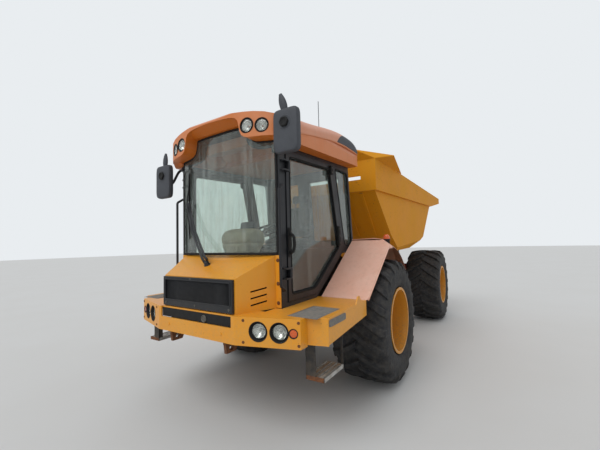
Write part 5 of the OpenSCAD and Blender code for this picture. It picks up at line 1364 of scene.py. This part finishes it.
class DT_OT_seat(bpy.types.Operator):
    """Makes the driver's seat: bellows, pan, padded cushion, back and headrest, and armrests"""
    bl_idname = "dump_truck.seat"
    bl_label = "Seat"

    def execute(self, context):
        s = context.scene.dump_truck_seat
        foot = np.array(at(0, -0.200, 1.580))
        lean = np.arctan2(0.10, 0.45)
        pad = cushion("seat_cushion", at(-0.222, -0.628, 1.512), at(0.222, -0.165, 1.588))
        self.cloth(s, plumped(pad, 0.012), ["seat"])
        back = cushion("seat_back", foot + [-0.210, -0.030, 0.030], foot + [0.210, 0.032, 0.440], 0.010, 0)
        self.cloth(s, leaned(plumped(back, 0.010), foot, -lean))
        rest = cushion("seat_headrest", foot + [-0.115, -0.022, 0.490], foot + [0.115, 0.022, 0.600], 0.006, 0)
        self.cloth(s, leaned(plumped(rest, 0.008), foot, -lean))
        # Welt round the cushion's top edge, and the pan under it
        middle = at(0, -0.3965, 0)
        line = rings(rounded_plan(0.226, 0.232, 6, 56), [1], [1.553])[0] + middle
        dress(loop("welt", line, 0.005, (0, 0, 1)), "epdm_rubber", "front_unit", "seat_fabric")
        share, level = (0.90, 1.0, 1.02, 1.02, 0.99), (1.502, 1.503, 1.510, 1.528, 1.530)
        grid = rings(rounded_plan(0.225, 0.235, 7), share, level) + middle
        pan = surface("pan", grid, wrap_v=True, caps=True)
        # Bellows: the plan's share is 1 - 0.07 * the square of a sine down the height
        t = np.linspace(0, 1, 41)
        grid = rings(rounded_plan(0.148, 0.195, 5, 40), 1 - 0.07 * np.sin(5 * pi * t) ** 2, 1.455 + 0.048 * t)
        grid = grid + at(0, -0.400, 0)
        # Their foot follows the ramp of the floor, 0.664 m down for each metre forward
        grid[..., 2] += 0.664 * (grid[..., 1] - (AXLE_F - 0.200)) * (1 - t[:, None])
        parts = [pan, surface("bellows", grid, wrap_v=True, caps=True)]
        for side in (1, -1):
            inner, outer = at(side * 0.242, -0.515, 1.695), at(side * 0.284, -0.185, 1.748)
            parts.append(soft_block("arm", inner, outer, 4, (14, 24)))
            path = [at(side * 0.262, -0.200, 1.722), at(side * 0.205, -0.178, 1.722)]
            parts.append(tube("bracket", path, 0.014))
        for x in (-0.06, 0.06):
            parts.append(tube("stem", [foot + [x, 0.094, 0.42], foot + [x, 0.120, 0.53]], 0.006, 10, (1, 0, 0)))
        dress(joined("seat_frame", parts), "black_abs", "front_unit", "black_plastic")
        return {"FINISHED"}

    def cloth(self, s, o, stands_for=()):
        """Dresses a padded piece in the seat's cloth. The settings are not used."""
        dress(o, "woven_seat_cloth", "front_unit", "seat_fabric", stands_for)


# ---------------------------------------------------------------- studio

class DT_Studio(bpy.types.PropertyGroup):
    floor: FloatVectorProperty(name="Floor", description="Colour of the floor and backdrop", subtype="COLOR",
                               size=3, min=0, max=1, default=(0.62, 0.62, 0.61))
    lens: FloatProperty(name="Lens", description="Focal length on a 36 mm sensor, in millimetres",
                        default=18.384, min=10, max=80)
    sun: FloatProperty(name="Key light", description="Strength of the soft light from above the front",
                       default=1.1, min=0, max=5)


# The photograph's camera: its place in metres, and how it is turned
CAMERA_AT = (2.178, -4.5605, 1.544)
YAW, PITCH, ROLL = radians(32.75), radians(3.29), radians(-1.457)


class DT_OT_stage(bpy.types.Operator):
    """Makes the floor, the overcast light and the camera at the photograph's place"""
    bl_idname = "dump_truck.stage"
    bl_label = "Studio and camera"

    def execute(self, context):
        s = context.scene.dump_truck_studio
        self.ground(s)
        self.light(context.scene, s)
        self.camera(context.scene, s)
        return {"FINISHED"}

    def ground(self, s):
        """A flat disc: radius times cosine and sine of the angle, just under the wheels."""
        around_it = np.stack([np.cos(angles(96)), np.sin(angles(96))], 1)
        floor = surface("studio_floor", rings(around_it, (0.0, 20.0, 60.0), (-0.001,) * 3), wrap_v=True)
        m, t, bsdf, where = start_material("studio_floor_paint", Roughness=0.9)
        tone = (*s.floor, 1.0)
        bsdf.inputs["Base Color"].default_value = tone
        feed(t, bsdf, Base_Color=mix(t, multiply(t, noise(t, where, 1.5, 3), 0.08), tone, linear("#B9B4AB")))
        floor.data.materials.append(m)

    def light(self, scene, s):
        """An overcast sky, brighter where the camera or a pane looks at it, and a soft sun."""
        world = scene.world = bpy.data.worlds.new("overcast")
        world.use_nodes = True
        t = world.node_tree
        t.nodes.clear()
        ray = add_node(t, "ShaderNodeLightPath")
        looks = {0: ray.outputs["Is Camera Ray"], 1: ray.outputs["Is Transmission Ray"]}
        seen = add_node(t, "ShaderNodeMath", looks, operation="MAXIMUM").outputs[0]
        sky = add_node(t, "ShaderNodeBackground", {"Color": linear("#F2F5F8"), "Strength": 0.75})
        white = add_node(t, "ShaderNodeBackground", {"Color": linear("#E9EDF0"), "Strength": 1.0})
        both = add_node(t, "ShaderNodeMixShader", {0: seen, 1: sky.outputs[0], 2: white.outputs[0]})
        add_node(t, "ShaderNodeOutputWorld", {"Surface": both.outputs[0]})
        sun = bpy.data.lights.new("soft_sun", "SUN")
        sun.energy, sun.angle = s.sun, radians(35)
        holder = bpy.data.objects.new("soft_sun", sun)
        holder.rotation_euler = (radians(38), radians(12), radians(-25))
        scene.collection.objects.link(holder)

    def camera(self, scene, s):
        """The camera, its axes worked out from yaw and pitch and then turned by the roll."""
        ahead = Vector((-sin(YAW) * cos(PITCH), cos(YAW) * cos(PITCH), sin(PITCH)))
        level = Vector((cos(YAW), sin(YAW), 0))
        above = level.cross(ahead)
        right, up = cos(ROLL) * level + sin(ROLL) * above, cos(ROLL) * above - sin(ROLL) * level
        camera = bpy.data.cameras.new("camera")
        camera.lens, camera.sensor_width, camera.clip_end = s.lens, 36, 500
        holder = bpy.data.objects.new("camera", camera)
        holder.matrix_world = Matrix((*zip(right, up, -ahead, CAMERA_AT), (0, 0, 0, 1)))
        scene.collection.objects.link(holder)
        scene.camera = holder
        scene.view_settings.view_transform = "Standard"


class DT_OT_finishes(bpy.types.Operator):
    """Gives every CAD node its finish"""
    bl_idname = "dump_truck.finishes"
    bl_label = "Finishes of the CAD nodes"

    def execute(self, context):
        left = set(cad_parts)
        for name, nodes in NODE_FINISH.items():
            for n in nodes:
                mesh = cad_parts[n].data
                mesh.materials.clear()
                mesh.materials.append(finish(name))
                left.discard(n)
        if left:
            raise RuntimeError(f"nodes without a finish: {sorted(left)}")
        return {"FINISHED"}


GROUPS = [DT_Tyres, DT_Lamps, DT_Front, DT_Mirrors, DT_Cab, DT_Roof, DT_Steps, DT_Wheels, DT_Fenders,
          DT_Console, DT_Seat, DT_Studio]
STEPS = [DT_OT_finishes, DT_OT_tyres, DT_OT_wheels, DT_OT_lamps, DT_OT_front, DT_OT_mirrors, DT_OT_cab,
         DT_OT_roof, DT_OT_steps, DT_OT_fenders, DT_OT_console, DT_OT_seat, DT_OT_stage]


class DT_PT_panel(bpy.types.Panel):
    """Lists the truck's sizes, colours and steps"""
    bl_idname = "DT_PT_panel"
    bl_label = "Dump truck"
    bl_space_type = "VIEW_3D"
    bl_region_type = "UI"
    bl_category = "Dump Truck"

    def draw(self, context):
        for holder in GROUPS:
            group = getattr(context.scene, holder_name(holder))
            for key in group.__annotations__:
                self.layout.prop(group, key)
        for step in STEPS:
            self.layout.operator(step.bl_idname)


def holder_name(group):
    """The scene property that holds a group of settings."""
    return "dump_truck_" + group.__name__[3:].lower()


def register():
    for c in (*GROUPS, *STEPS, DT_PT_panel):
        bpy.utils.register_class(c)
    for g in GROUPS:
        setattr(bpy.types.Scene, holder_name(g), PointerProperty(type=g))


def unregister():
    for g in GROUPS:
        delattr(bpy.types.Scene, holder_name(g))
    for c in (DT_PT_panel, *reversed(STEPS), *reversed(GROUPS)):
        bpy.utils.unregister_class(c)


def main():
    """Registers the add-on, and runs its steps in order."""
    register()
    for step in STEPS:
        getattr(bpy.ops.dump_truck, step.bl_idname.split(".")[1])()


if __name__ == "__main__":
    main()
